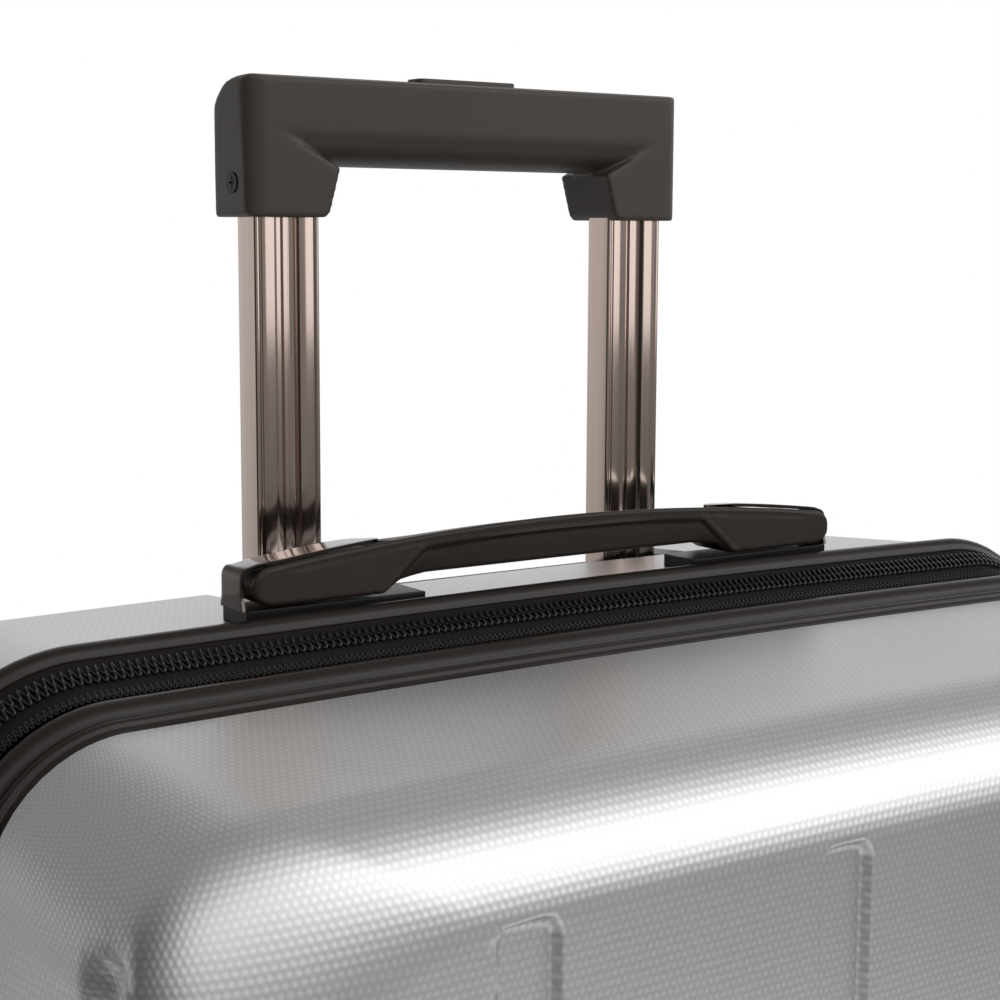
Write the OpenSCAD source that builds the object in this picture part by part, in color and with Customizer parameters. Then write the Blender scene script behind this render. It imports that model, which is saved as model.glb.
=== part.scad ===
// Hard shell suitcase on four twin-wheel casters, expandable, with a trolley handle.
// Frame: X across the case, Y from the front face to the back face, Z up.
// The origin is on the floor, under the middle of the case.

/* [Case] */
// Width over the rim of the back shell
body_w = 512; // [420:1:620]
// Height of the shells, without the casters
body_h = 700; // [560:1:840]
// Depth of the front shell ahead of the zip band
front_depth = 98; // [80:1:130]
// Depth of the back shell behind the zip band
back_depth = 118; // [112:1:150]
// Depth of the zip band between the two shells
band_depth = 44; // [42:1:54]
// How far the front rim lies inside the back rim
band_inset = 18.5; // [14:0.5:22]
// Corner radius of the back rim
corner_r = 63; // [55:1:80]
// Wall of the shells
shell_t = 2.6; // [2:0.1:4]
// Radius of the shoulder between the sides and the face of a shell
shoulder_r = 37; // [28:1:44]
// Height of the case above the floor
leg_h = 58; // [50:1:80]

/* [Trolley] */
// Width of the grip
grip_w = 195; // [170:1:230]
// Height of the grip
grip_h = 49.5; // [42:0.1:56]
// Depth of the grip
grip_d = 31.5; // [26:0.1:34]
// Height of the middle bar of the grip
bar_h = 31; // [24:0.1:34]
// Distance between the two tubes
tube_pitch = 158; // [140:1:176]
// Width of an inner tube
tube_w = 26.2; // [22:0.1:30]
// Depth of an inner tube
tube_d = 14; // [12:0.1:15]
// Wall of the tubes
tube_t = 1.3; // [1:0.1:1.5]
// Width of the groove down the front of an inner tube
groove_w = 8.6; // [6:0.1:10]
// Length of an inner tube
tube_len = 500; // [420:1:560]
// Travel from the stowed position to the half-way stop
trolley_stow = 164; // [120:1:180]

/* [Carry handles] */
// Length of a carry handle
handle_len = 256; // [220:1:290]
// Width of a carry handle
handle_w = 24; // [20:0.5:27]
// Thickness of its middle
handle_t = 16; // [13:0.5:18]

/* [Casters] */
// Radius of a wheel
wheel_r = 24; // [20:0.5:24]
// Width of a wheel
wheel_w = 13; // [10:0.5:16]
// Radius of an axle
axle_r = 3; // [2:0.5:4]
// Offset of the axle behind the swivel
trail = 17; // [12:1:20]

/* [Expander] */
// How far the front shell slides forward
expander_travel = 45; // [30:1:50]

/* [Hidden] */

// Gaps: free for pieces that pass each other, running for a shaft in its hole
free_gap = 0.3;
run_gap = 0.05;

// Case
half_w = body_w / 2;
half_h = body_h / 2;
mid_z = leg_h + half_h;
top_z = leg_h + body_h;
back_rim_y = 12;
front_rim_y = back_rim_y - band_depth;
back_y = back_rim_y + 2 + back_depth;
shell_rim_y = back_rim_y + 2;
top_crown = 3.1;
side_crown = 2;
corner_steps = 10;
side_steps = 6;
shoulder_steps = 8;
corner_growth = 0.5;
back_inset = 3;
back_draft = 4;
front_draft = 7;

// Zip band, as depth Y against inset from the back rim
band_slope = band_inset / band_depth;
tape_sink = 1.5;
tape_t = 1;
zip_y = -3.6;
zip_gap = 0.15;
zip_half = 3.9;
coil_h = 1.7;
expander_y = -13.2;
expander_half = 1.5;
bead_r = 4.6;
bead_y = 9.4;
sleeve_gap = 1;
sleeve_t = 0.8;
lining_t = 1.2;
lining_gap = 1.2;

// Trolley
grip_y = 71.6;
tube_y = grip_y + 6.2;
tube_mid_y = tube_y + tube_d / 2;
grip_top_z = top_z + 177.8;
grip_z = grip_top_z - grip_h;
tube_top_z = grip_z + 16;
tube_low_z = tube_top_z - tube_len;
outer_w = tube_w + 2 * (free_gap + tube_t);
outer_d = tube_d + 2 * (free_gap + tube_t);
foot_w = 33;
foot_slope = 4.5;
pocket_gap = 2.5;
bezel_t = 2;
bezel_w = grip_w + 2 * (pocket_gap + bezel_t);
bezel_y0 = grip_y - pocket_gap - bezel_t;
bezel_y1 = grip_y + grip_d + pocket_gap + bezel_t;
bezel_floor_z = grip_z - trolley_stow - 0.5;
bezel_floor_t = 3;
bezel_top_z = top_z - 17;
ledge_t = 3;
foot_z = leg_h + 42;
foot_h = 16;
button_l = 44;
button_w = 11;
button_travel = 4;
button_proud = 2;
rod_r = 1.8;
rod_back = 1.6;
bar_z = grip_top_z - 18;
pin_r = 2.5;
pin_z = tube_low_z + 12;
pin_travel = 2.4;
screw_r = 1.6;
screw_head_r = 3.4;
screw_deep = 1.5;
screw_len = 5;

// Carry handles: profile along the handle, height above the back rim
handle_y = 12.6;
handle_mid_y = handle_y + handle_w / 2;
handle_base_h = 0.5;
handle_low = 1.8;
handle_arch = 7;
block_in = 78;
arch_in = 72;
strap_w = 13;
strap_t = 1.8;
strap_len = 52;
base_in = 60;

// Combination lock and zip sliders, on the side with the side handle
lock_z = mid_z + handle_len / 2 + 66;
lock_h = 86;
lock_w = 26;
lock_deep = 17;
lock_y = shell_rim_y + 9;
lock_x = half_w + 0.6;
dial_r = 7;
dial_t = 5;
dial_z = [lock_z + 6, lock_z + 14, lock_z + 22];
dial_pin_r = 1.5;
dial_x = lock_x - dial_r + 1.8;
key_r = 4;
key_z = lock_z - 30;
release_z = lock_z - 12;
release_travel = 5;
slider_l = 15;
slider_h = 3;
slider_z = 22;
pull_l = 26;
pull_t = 1.6;
pull_w = 7;
pull_pin_r = 0.9;

// Casters
housing_r = 32;
housing_z = leg_h - 1;
stem_r = 6;
stem_l = 20;
plate_r = 25;
plate_t = 4;
plate_z = housing_z - 1 - plate_t;
arm_t = 7;
hub_gap = 0.5;
caster_x = half_w - corner_r;
rear_y = shell_rim_y + 70;
fore_y = front_rim_y - 56;

// ---------- rounded, crowned rings and the solids swept along them ----------

function mix(a, b, t) = a + (b - a) * t;
function crowned(p) = [p[0] - sign(p[0]) * side_crown * pow(p[1] / half_h, 2) * abs(p[0]) / half_w,
    p[1] - sign(p[1]) * top_crown * pow(p[0] / half_w, 2) * abs(p[1]) / half_h];
function sign_x(q) = (q == 0 || q == 3) ? 1 : -1;
function sign_z(q) = q < 2 ? 1 : -1;
function corner_pt(q, a, d, r) = [sign_x(q) * (half_w - d - r) + r * cos(90 * q + a),
    sign_z(q) * (half_h - d - r) + r * sin(90 * q + a)];
function ring(d, r) = [for (q = [0:3]) each concat(
    [for (j = [0:corner_steps]) crowned(corner_pt(q, 90 * j / corner_steps, d, r))],
    [for (j = [1:side_steps - 1])
        crowned(mix(corner_pt(q, 90, d, r), corner_pt((q + 1) % 4, 0, d, r), j / side_steps))])];
ring_n = 4 * (corner_steps + side_steps);
function ring_at(y, d, r) = [for (p = ring(d, r)) [p[0], y, p[1] + mid_z]];
function turned(f, flip) = flip ? [for (i = [len(f) - 1:-1:0]) f[i]] : f;
function band_faces(k0, k1, flip) = [for (i = [0:ring_n - 1]) let (n = (i + 1) % ring_n)
    each [turned([k0 * ring_n + i, k0 * ring_n + n, k1 * ring_n + n], flip),
        turned([k0 * ring_n + i, k1 * ring_n + n, k1 * ring_n + i], flip)]];

// A solid through the rings [y, inset, radius], closed by a flat cap at each end
module loft(sections, flip) {
    last = len(sections) - 1;
    polyhedron(points = [for (s = sections) each ring_at(s[0], s[1], s[2])],
        faces = concat([turned([for (i = [ring_n - 1:-1:0]) i], flip)],
            [turned([for (i = [0:ring_n - 1]) last * ring_n + i], flip)],
            [for (k = [0:last - 1]) each band_faces(k, k + 1, flip)]));
}

// A closed hoop whose section is the outline [y, inset, radius], outer side first with y rising;
// without a radius its corners share their centres with the back rim
function hoop_r(s) = len(s) > 2 ? s[2] : corner_r - s[1];
module hoop(outline) {
    n = len(outline);
    polyhedron(points = [for (s = outline) each ring_at(s[0], s[1], hoop_r(s))],
        faces = [for (k = [0:n - 1]) each band_faces(k, (k + 1) % n, false)]);
}

// Side and shoulder of a shell, as [depth from the rim, inset]; in_by moves it inward along its normal,
// and upright sides have no draft, so that they clear a sleeve that slides along them
function profile(inset, draft, depth, r, in_by, upright) = let (straight = depth - r + r * sin(draft))
    concat([[0, upright ? inset + straight * tan(draft) + in_by * cos(draft) : inset + in_by / cos(draft)]],
        [for (i = [0:shoulder_steps]) let (a = mix(draft, 90, i / shoulder_steps))
            [straight - r * sin(draft) + (r - in_by) * sin(a),
                inset + straight * tan(draft) + r * cos(draft) - (r - in_by) * cos(a)]]);
function sections(prof, rim_y, way, rim_r, inset, in_by) = [for (p = prof)
    [rim_y + way * p[0], p[1], rim_r + (p[1] - inset - in_by) * corner_growth - in_by]];
function reversed(v) = [for (i = [len(v) - 1:-1:0]) v[i]];

// An open tray of wall t, its outside in_by inside the shell's own outside
module tray(rim_y, way, inset, draft, depth, r, in_by, t, upright = false) {
    rim_r = corner_r - inset;
    outer = sections(profile(inset, draft, depth, r, in_by, upright), rim_y, way, rim_r, inset, in_by);
    inner = sections(profile(inset, draft, depth, r, in_by + t, upright), rim_y, way, rim_r, inset, in_by + t);
    loft(concat(reversed(inner), outer), way < 0);
}

function band_d(y) = (back_rim_y - y) * band_slope;
function tape_d(y) = band_d(y) + tape_sink;

module at_casters(y) {
    for (sx = [-1, 1]) translate([sx * caster_x, y, 0]) children();
}

// ---------- back half ----------

module back_shell() {
    color([0.72, 0.73, 0.75]) difference() {
        tray(shell_rim_y, 1, back_inset, back_draft, back_depth, shoulder_r, 0, shell_t);
        bezel_block(0);
        ledge_block(100);
        at_casters(rear_y) translate([0, 0, housing_z - 10]) cylinder(r = housing_r, h = 60, $fn = 48);
        lock_block(0);
    }
}

module back_trim() {
    lip_in = back_inset + shell_t + 0.4;
    color([0.16, 0.14, 0.13]) hoop(concat(
        [for (i = [0:6]) let (a = 180 - 30 * i)
            [bead_y + bead_r * cos(a), bead_r - bead_r * sin(a)]],
        [[shell_rim_y, lip_in], [shell_rim_y + 8, lip_in + 8 * tan(back_draft)],
            [shell_rim_y + 8, lip_in + 1.4], [shell_rim_y - 0.6, lip_in + 1.2]],
        [[bead_y + 1.5, bead_r * 2], [bead_y - 2.4, bead_r * 1.86]]));
}

module zip_tape(y_low, y_high) {
    color([0.1, 0.1, 0.1]) hoop([[y_low, tape_d(y_low)], [y_high, tape_d(y_high)],
        [y_high, tape_d(y_high) + tape_t], [y_low, tape_d(y_low) + tape_t]]);
}

module zip_coil(y_low, y_high, h) {
    third = (y_high - y_low) / 4;
    color([0.06, 0.06, 0.06]) hoop([[y_low, tape_d(y_low)],
        [y_low + third * 0.4, tape_d(y_low) - h * 0.7], [y_low + third * 1.5, tape_d(y_low + third) - h],
        [y_high - third * 1.5, tape_d(y_high - third) - h], [y_high - third * 0.4, tape_d(y_high) - h * 0.7],
        [y_high, tape_d(y_high)]]);
}

module back_zip_tape() {
    zip_tape(zip_y + zip_gap, bead_y - bead_r);
}

module back_zip_coil() {
    zip_coil(zip_y + zip_gap, zip_y + zip_half, coil_h);
}

module back_lining() {
    floor_y = bezel_y1 - 33;
    color([0.2, 0.2, 0.22]) difference() {
        tray(shell_rim_y + 9, 1, back_inset + 9 * tan(back_draft), back_draft,
            floor_y - shell_rim_y - 9, 14, shell_t + lining_gap, lining_t);
        bezel_block(free_gap);
        at_casters(rear_y) translate([0, 0, housing_z - 10])
            cylinder(r = housing_r + free_gap, h = 60, $fn = 48);
        lock_block(free_gap);
    }
}

module tube_outline(w, d, r) {
    translate([-w / 2 + r, -d / 2]) square([w - 2 * r, d]);
    translate([-w / 2, -d / 2 + r]) square([w, d - 2 * r]);
    for (sx = [-1, 1], sy = [-1, 1]) translate([sx * (w / 2 - r), sy * (d / 2 - r)]) circle(r = r, $fn = 24);
}

module at_tubes() {
    for (sx = [-1, 1]) translate([sx * tube_pitch / 2, tube_mid_y, 0]) children();
}

module outer_tubes() {
    color([0.55, 0.52, 0.5]) at_tubes() translate([0, 0, foot_z + 4])
        linear_extrude(height = bezel_floor_z - foot_z - 4) difference() {
            tube_outline(outer_w, outer_d, 3);
            tube_outline(outer_w - 2 * tube_t, outer_d - 2 * tube_t, 2.2);
        }
}

// The pocket in the top of the back shell that takes the stowed grip
module bezel_block(gap) {
    translate([-bezel_w / 2 - gap, bezel_y0 - gap, bezel_floor_z - bezel_floor_t - gap])
        cube([bezel_w + 2 * gap, bezel_y1 - bezel_y0 + 2 * gap, 100]);
}

// Behind the pocket the shell is lowered to a ledge, so that the pocket is open to the back
module ledge_block(h) {
    translate([-bezel_w / 2, bezel_y1 - 1, bezel_top_z - ledge_t]) cube([bezel_w, back_y - bezel_y1 + 10, h]);
}

module trolley_bezel() {
    color([0.12, 0.12, 0.12]) difference() {
        union() {
            translate([-bezel_w / 2, bezel_y0, bezel_floor_z - bezel_floor_t])
                cube([bezel_w, bezel_y1 - bezel_y0, bezel_top_z - bezel_floor_z + bezel_floor_t]);
            intersection() {
                ledge_block(ledge_t);
                back_solid();
            }
        }
        translate([-bezel_w / 2 + bezel_t, bezel_y0 + bezel_t, bezel_floor_z])
            cube([bezel_w - 2 * bezel_t, bezel_y1 - bezel_y0 - 2 * bezel_t, 100]);
        at_tubes() translate([0, 0, bezel_floor_z - 10]) linear_extrude(height = 20)
            tube_outline(outer_w, outer_d, 3);
    }
}

module tube_foot() {
    color([0.12, 0.12, 0.12]) difference() {
        translate([-tube_pitch / 2 - outer_w / 2 - 6, tube_mid_y - outer_d / 2 - 5, foot_z])
            cube([tube_pitch + outer_w + 12, outer_d + 10, foot_h]);
        at_tubes() translate([0, 0, foot_z + 4]) linear_extrude(height = 60) tube_outline(outer_w, outer_d, 3);
    }
}

module hinge_tape() {
    pin_x = -half_w - 1;
    color([0.08, 0.08, 0.08]) translate([0, 0, mid_z - 230]) {
        translate([pin_x, zip_y, 0]) cylinder(r = 1.4, h = 460, $fn = 24);
        translate([pin_x - 1, zip_y, 0]) cube([1, bead_y - zip_y, 460]);
    }
}

// ---------- casters ----------

module housing(y, top) {
    color([0.1, 0.1, 0.1]) at_casters(y) difference() {
        union() {
            translate([0, 0, housing_z]) cylinder(r = housing_r, h = top - housing_z, $fn = 48);
            translate([0, 0, housing_z]) cylinder(r = housing_r + 2, h = 5, $fn = 48);
        }
        translate([0, 0, housing_z - 1]) cylinder(r = stem_r + run_gap, h = stem_l + 2, $fn = 48);
    }
}

module rear_caster_housings() {
    housing(rear_y, leg_h + 24);
}

module front_caster_housings() {
    housing(fore_y, leg_h + 46);
}

module fork(sx, y) {
    axle_z = wheel_r;
    color([0.13, 0.13, 0.13]) translate([sx * caster_x, y, 0]) difference() {
        union() {
            translate([0, 0, plate_z]) cylinder(r = plate_r, h = plate_t, $fn = 48);
            translate([0, 0, plate_z]) cylinder(r = stem_r, h = housing_z + stem_l - plate_z, $fn = 48);
            translate([-arm_t / 2, 0, 0]) rotate([90, 0, 90]) linear_extrude(height = arm_t) {
                translate([trail, axle_z]) circle(r = 10, $fn = 48);
                polygon([[-16, plate_z + 1], [plate_r - 3, plate_z + 1], [trail + 9.6, axle_z + 3],
                    [trail - 6, axle_z - 8], [trail - 10, axle_z]]);
            }
        }
        translate([-20, trail, axle_z]) rotate([0, 90, 0]) cylinder(r = axle_r, h = 40, $fn = 48);
    }
}

module axle(sx, y) {
    half = arm_t / 2 + hub_gap + wheel_w + 1.4;
    color([0.6, 0.6, 0.62]) translate([sx * caster_x, y + trail, wheel_r]) rotate([0, 90, 0]) {
        translate([0, 0, -half]) cylinder(r = axle_r, h = 2 * half, $fn = 48);
        for (s = [-1, 1]) translate([0, 0, s * (half - 0.5) - 0.5]) cylinder(r = axle_r + 2, h = 1, $fn = 48);
    }
}

module wheel(sx, y, side) {
    mid = side * (arm_t / 2 + hub_gap + wheel_w / 2);
    color([0.09, 0.09, 0.09]) translate([sx * caster_x + mid, y + trail, wheel_r]) rotate([0, 90, 0])
        rotate_extrude($fn = 96) polygon([[axle_r + run_gap, -wheel_w / 2], [wheel_r - 1.5, -wheel_w / 2],
            [wheel_r, -wheel_w / 2 + 1.5], [wheel_r, wheel_w / 2 - 1.5], [wheel_r - 1.5, wheel_w / 2],
            [axle_r + run_gap, wheel_w / 2]]);
}

// ---------- front half ----------

module front_zip_tape() {
    zip_tape(expander_y + zip_gap, zip_y - zip_gap);
}

module front_zip_coil() {
    zip_coil(zip_y - zip_half, zip_y - zip_gap, coil_h);
}

module expander_coil_rear() {
    zip_coil(expander_y + zip_gap, expander_y + expander_half, 1.1);
}

module expander_coil_front() {
    y_end = expander_y - 2.2;
    y_low = expander_y - expander_half;
    y_high = expander_y - zip_gap;
    color([0.06, 0.06, 0.06]) hoop([[y_end, tape_d(y_end)], [y_low, tape_d(y_low)],
        [y_low + 0.3, tape_d(y_low) - 0.8], [y_high - 0.3, tape_d(y_high) - 0.8],
        [y_high, tape_d(y_high)], [y_high, tape_d(y_high) + tape_t], [y_end, tape_d(y_end) + tape_t]]);
}

// The gusset of the expander: sewn to the zip tape, it lies folded forward inside the front shell
module gusset() {
    y0 = expander_y + zip_gap;
    y_end = front_rim_y - expander_travel - 15;
    d0 = tape_d(y0) + tape_t;
    d_fold = d0 + 5.6;
    d1 = band_inset + shell_t + sleeve_gap;
    d2 = d1 + (front_rim_y - y_end) * tan(front_draft);
    r2 = corner_r - d1 + (d2 - d1) * corner_growth;
    color([0.09, 0.09, 0.09]) difference() {
        hoop([[y_end, d2, r2], [front_rim_y, d1], [y0, d_fold], [y0, d0], [y0 + 1, tape_d(y0 + 1) + tape_t],
            [y0 + 1, d_fold + sleeve_t], [front_rim_y, d1 + sleeve_t], [y_end, d2 + sleeve_t, r2 - sleeve_t]]);
        at_casters(fore_y) translate([0, 0, housing_z]) {
            cylinder(r = housing_r + 1, h = 60, $fn = 48);
            translate([-housing_r - 1, -100, 0]) cube([2 * housing_r + 2, 100, 60]);
        }
    }
}

module front_shell() {
    color([0.72, 0.73, 0.75]) difference() {
        tray(front_rim_y, -1, band_inset, front_draft, front_depth, shoulder_r, 0, shell_t);
        at_casters(fore_y) translate([0, 0, housing_z - 10]) cylinder(r = housing_r, h = 70, $fn = 48);
    }
}

module front_trim() {
    low = band_inset + shell_t;
    y = front_rim_y;
    color([0.16, 0.14, 0.13]) hoop([[y, band_inset + 0.5], [y + 2.6, band_inset - 0.9],
        [y + 3.4, band_inset - 2.3], [y + 5, band_inset - 2.9], [y + 6.6, band_inset - 2.6],
        [y + 7.2, band_inset - 1.9], [y + 7.8, band_inset - 3.9], [y + 9.6, band_inset - 5.9],
        [y + 12, band_inset - 6.9], [y + 14.4, band_inset - 6.7], [y + 16.4, band_inset - 5],
        [y + 16.6, band_inset - 3.6], [y + 14, low - 3], [y + 7, low - 0.6], [y, low]]);
}

module front_lining() {
    in_by = shell_t + sleeve_gap + sleeve_t + 1.2;
    color([0.2, 0.2, 0.22]) difference() {
        tray(front_rim_y, -1, band_inset, front_draft, front_depth, shoulder_r, in_by, lining_t, true);
        at_casters(fore_y) translate([0, 0, housing_z - 10])
            cylinder(r = housing_r + free_gap, h = 70, $fn = 48);
    }
}

// ---------- trolley ----------

module groove_cut(depth) {
    translate([1.2 - groove_w / 2, -tube_d / 2 - 1]) square([groove_w, 1 + depth]);
}

module inner_tubes() {
    color([0.6, 0.55, 0.52]) at_tubes() difference() {
        translate([0, 0, tube_low_z]) linear_extrude(height = tube_len) difference() {
            tube_outline(tube_w, tube_d, 1.6);
            groove_cut(1.2);
            difference() {
                tube_outline(tube_w - 2 * tube_t, tube_d - 2 * tube_t, 0.9);
                translate([1.2 - groove_w / 2 - tube_t, -tube_d]) square([groove_w + 2 * tube_t, tube_d / 2 + 3]);
            }
        }
        translate([0, -tube_d, pin_z]) rotate([-90, 0, 0]) cylinder(r = pin_r + run_gap, h = tube_d, $fn = 32);
        translate([-tube_w, 0, grip_z + 12]) rotate([0, 90, 0]) cylinder(r = screw_r, h = 2 * tube_w, $fn = 32);
    }
}

module tube_plugs() {
    color([0.1, 0.1, 0.1]) at_tubes() difference() {
        translate([-tube_w / 2 + tube_t + 0.6, -tube_d / 2 + 4.6, tube_low_z])
            cube([tube_w - 2 * tube_t - 1.2, tube_d - tube_t - 5.3, 24]);
        translate([0, -tube_d, pin_z]) rotate([-90, 0, 0]) cylinder(r = pin_r + run_gap, h = tube_d * 2, $fn = 32);
    }
}

module lock_pins() {
    color([0.65, 0.65, 0.67]) at_tubes() translate([0, -tube_d / 2 + 1.4, pin_z]) rotate([-90, 0, 0])
        cylinder(r = pin_r, h = tube_d - 2 * tube_t - 0.4 - pin_travel, $fn = 32);
}

// Side profile of the grip: flat front, rounded top edge and a wide round at the back
module grip_side() {
    back_r = 24;
    front_r = 4;
    translate([0, 0]) square([grip_d, grip_h - back_r]);
    translate([front_r, 0]) square([grip_d - front_r - back_r, grip_h]);
    translate([0, 0]) square([front_r, grip_h - front_r]);
    translate([front_r, grip_h - front_r]) circle(r = front_r, $fn = 48);
    translate([grip_d - back_r, grip_h - back_r]) circle(r = back_r, $fn = 64);
}

// Front outline of the grip: two end blocks joined by the bar
module grip_front() {
    corner = 4;
    translate([-grip_w / 2 + corner, grip_h - corner]) circle(r = corner, $fn = 48);
    translate([grip_w / 2 - corner, grip_h - corner]) circle(r = corner, $fn = 48);
    translate([-grip_w / 2 + corner, grip_h - 2 * corner]) square([grip_w - 2 * corner, 2 * corner]);
    for (s = [-1, 1]) scale([s, 1]) polygon([[0, grip_h - bar_h], [grip_w / 2 - foot_w - foot_slope, grip_h - bar_h],
        [grip_w / 2 - foot_w, 2], [grip_w / 2 - foot_w + 2, 0], [grip_w / 2 - 2, 0], [grip_w / 2 - 0.8, 1.5],
        [grip_w / 2, grip_h - corner], [0, grip_h - corner]]);
}

// What the rounded lower edges of the bar take off, up to the slanted inner edges of the end blocks
module bar_edges() {
    r = 13;
    foot_in = grip_w / 2 - foot_w - foot_slope;
    translate([0, 0, grip_z + grip_h - bar_h]) intersection() {
        translate([0, grip_y + grip_d + 2, 0]) rotate([90, 0, 0]) linear_extrude(height = grip_d + 4)
            polygon([[-foot_in - 28, r], [-foot_in, -1], [foot_in, -1], [foot_in + 28, r]]);
        translate([-grip_w / 2, grip_y, 0]) rotate([90, 0, 90]) linear_extrude(height = grip_w) difference() {
            translate([-1, -1]) square([grip_d + 2, r + 1]);
            translate([r, r]) circle(r = r, $fn = 64);
            translate([grip_d - r, r]) circle(r = r, $fn = 64);
            translate([r, 0]) square([grip_d - 2 * r, r + 1]);
        }
    }
}

module grip_shell() {
    plan_r = 7.5;
    color([0.1, 0.1, 0.1]) difference() {
        intersection() {
            translate([-grip_w / 2, grip_y, grip_z]) rotate([90, 0, 90])
                linear_extrude(height = grip_w) grip_side();
            translate([0, grip_y + grip_d, grip_z]) rotate([90, 0, 0])
                linear_extrude(height = grip_d) grip_front();
            translate([0, grip_y + grip_d / 2, grip_z]) linear_extrude(height = grip_h)
                tube_outline(grip_w, grip_d, plan_r);
        }
        bar_edges();
        at_tubes() translate([0, 0, grip_z - 1]) linear_extrude(height = tube_top_z - grip_z + 1)
            tube_outline(tube_w, tube_d, 1.6);
        button_space(button_l, button_w, free_gap, 60, bar_z + 3);
        translate([-tube_pitch / 2 - 8, tube_mid_y - 4, bar_z - button_travel - 3])
            cube([tube_pitch + 16, 8, 11]);
        at_tubes() translate([0, rod_back, tube_top_z - 1]) cylinder(r = rod_r + 1, h = bar_z - tube_top_z, $fn = 24);
        at_screws() {
            cylinder(r = screw_head_r + 0.2, h = screw_deep + 1, $fn = 32);
            translate([0, 0, -8]) cylinder(r = screw_r, h = 10, $fn = 32);
        }
    }
}

module button_space(l, w, gap, h, z) {
    translate([0, tube_mid_y, z]) linear_extrude(height = h) tube_outline(l + 2 * gap, w + 2 * gap, 3);
}

module at_screws() {
    for (s = [-1, 1]) translate([s * (grip_w / 2 - screw_deep), tube_mid_y, grip_z + 12])
        rotate([0, s * 90, 0]) children();
}

module grip_screws() {
    color([0.3, 0.3, 0.3]) at_screws() difference() {
        union() {
            cylinder(r = screw_head_r, h = 1.2, $fn = 32);
            translate([0, 0, -screw_len]) cylinder(r = screw_r, h = screw_len, $fn = 32);
        }
        for (a = [0, 90]) rotate([0, 0, a]) translate([-2.4, -0.4, 0.5]) cube([4.8, 0.8, 2]);
    }
}

module release_button() {
    color([0.08, 0.08, 0.08])
        button_space(button_l, button_w, 0, grip_top_z + button_proud - bar_z - 9, bar_z + 9);
}

module push_rods() {
    color([0.5, 0.5, 0.52]) {
        translate([-tube_pitch / 2 - 5, tube_mid_y - 3, bar_z]) cube([tube_pitch + 10, 6, 4]);
        for (s = [-1, 1]) translate([s * 12 - 3, tube_mid_y - 3, bar_z + 4]) cube([6, 6, 5]);
        at_tubes() translate([0, rod_back, pin_z + 20]) cylinder(r = rod_r, h = bar_z - pin_z - 20, $fn = 24);
    }
}

module button_spring() {
    color([0.7, 0.7, 0.7]) translate([0, tube_mid_y, bar_z - button_travel - 3])
        difference() {
            cylinder(r = 3, h = button_travel + 3, $fn = 24);
            translate([0, 0, -1]) cylinder(r = 2.2, h = button_travel + 5, $fn = 24);
        }
}

// ---------- carry handles, drawn along X above height 0 and moved to the top or the side ----------

module on_top() {
    translate([0, handle_mid_y, top_z]) children();
}

module on_side() {
    translate([half_w, handle_mid_y, mid_z]) rotate([0, 90, 0]) children();
}

function handle_top(x) = handle_arch + handle_t - 9 * pow(2 * x / handle_len, 2);

module handle_profile() {
    end = handle_len / 2;
    tip = 3;
    polygon(concat([for (i = [0:24]) let (x = mix(-end + tip, end - tip, i / 24)) [x, handle_top(x)]],
        [[end, handle_top(end) - tip - 1], [end, handle_low + tip], [end - tip, handle_low],
            [block_in, handle_low], [arch_in, handle_arch - 1.6], [arch_in - 12, handle_arch],
            [-arch_in + 12, handle_arch], [-arch_in, handle_arch - 1.6], [-block_in, handle_low],
            [-end + tip, handle_low], [-end, handle_low + tip], [-end, handle_top(end) - tip - 1]]));
}

module handle_grip() {
    color([0.2, 0.18, 0.17]) intersection() {
        translate([0, handle_w / 2, 0]) rotate([90, 0, 0]) linear_extrude(height = handle_w) handle_profile();
        linear_extrude(height = 60) tube_outline(handle_len, handle_w, 7);
    }
}

// A strap folded over each end of the handle: a post down the end and a tongue along the top
module handle_straps() {
    end = handle_len / 2;
    top = handle_top(end);
    color([0.42, 0.4, 0.39]) for (s = [-1, 1]) scale([s, 1, 1]) {
        translate([end, -strap_w / 2, handle_low + 0.6]) cube([strap_t, strap_w, top - handle_low]);
        translate([0, strap_w / 2, 0]) rotate([90, 0, 0]) linear_extrude(height = strap_w)
            polygon(concat([for (i = [0:6]) let (x = mix(end - strap_len, end - 3, i / 6)) [x, handle_top(x)]],
                [[end, handle_top(end) - 4], [end + strap_t, handle_top(end) - 3]],
                [for (i = [6:-1:0]) let (x = mix(end - strap_len, end - 1, i / 6))
                    [x, handle_top(x) + strap_t]]));
    }
}

module handle_bases() {
    end = handle_len / 2 + 1;
    color([0.08, 0.08, 0.08]) for (s = [-1, 1]) scale([s, 1, 1])
        translate([base_in, -8.5, -10]) cube([end - base_in, 17, 10 + handle_base_h]);
}

module back_solid() {
    loft(sections(profile(back_inset, back_draft, back_depth, shoulder_r, 0, false), shell_rim_y, 1,
        corner_r - back_inset, back_inset, 0), false);
}

module top_handle_bases() {
    difference() {
        on_top() handle_bases();
        back_solid();
        translate([-half_w, -50, top_z - 20]) cube([body_w, 50 + shell_rim_y + 0.2, 40]);
    }
}

module side_handle_bases() {
    difference() {
        on_side() handle_bases();
        back_solid();
        translate([half_w - 20, -50, mid_z - half_h]) cube([40, 50 + shell_rim_y + 0.2, body_h]);
    }
}

module top_handle_grip() {
    on_top() handle_grip();
}

module top_handle_straps() {
    on_top() handle_straps();
}

module side_handle_grip() {
    on_side() handle_grip();
}

module side_handle_straps() {
    on_side() handle_straps();
}

// ---------- lock and zip sliders ----------

module lock_block(gap) {
    translate([lock_x - lock_deep - gap, lock_y - gap, lock_z - lock_h / 2 - gap])
        cube([lock_deep + 2 * gap + 20, lock_w + 2 * gap, lock_h + 2 * gap]);
}

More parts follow.
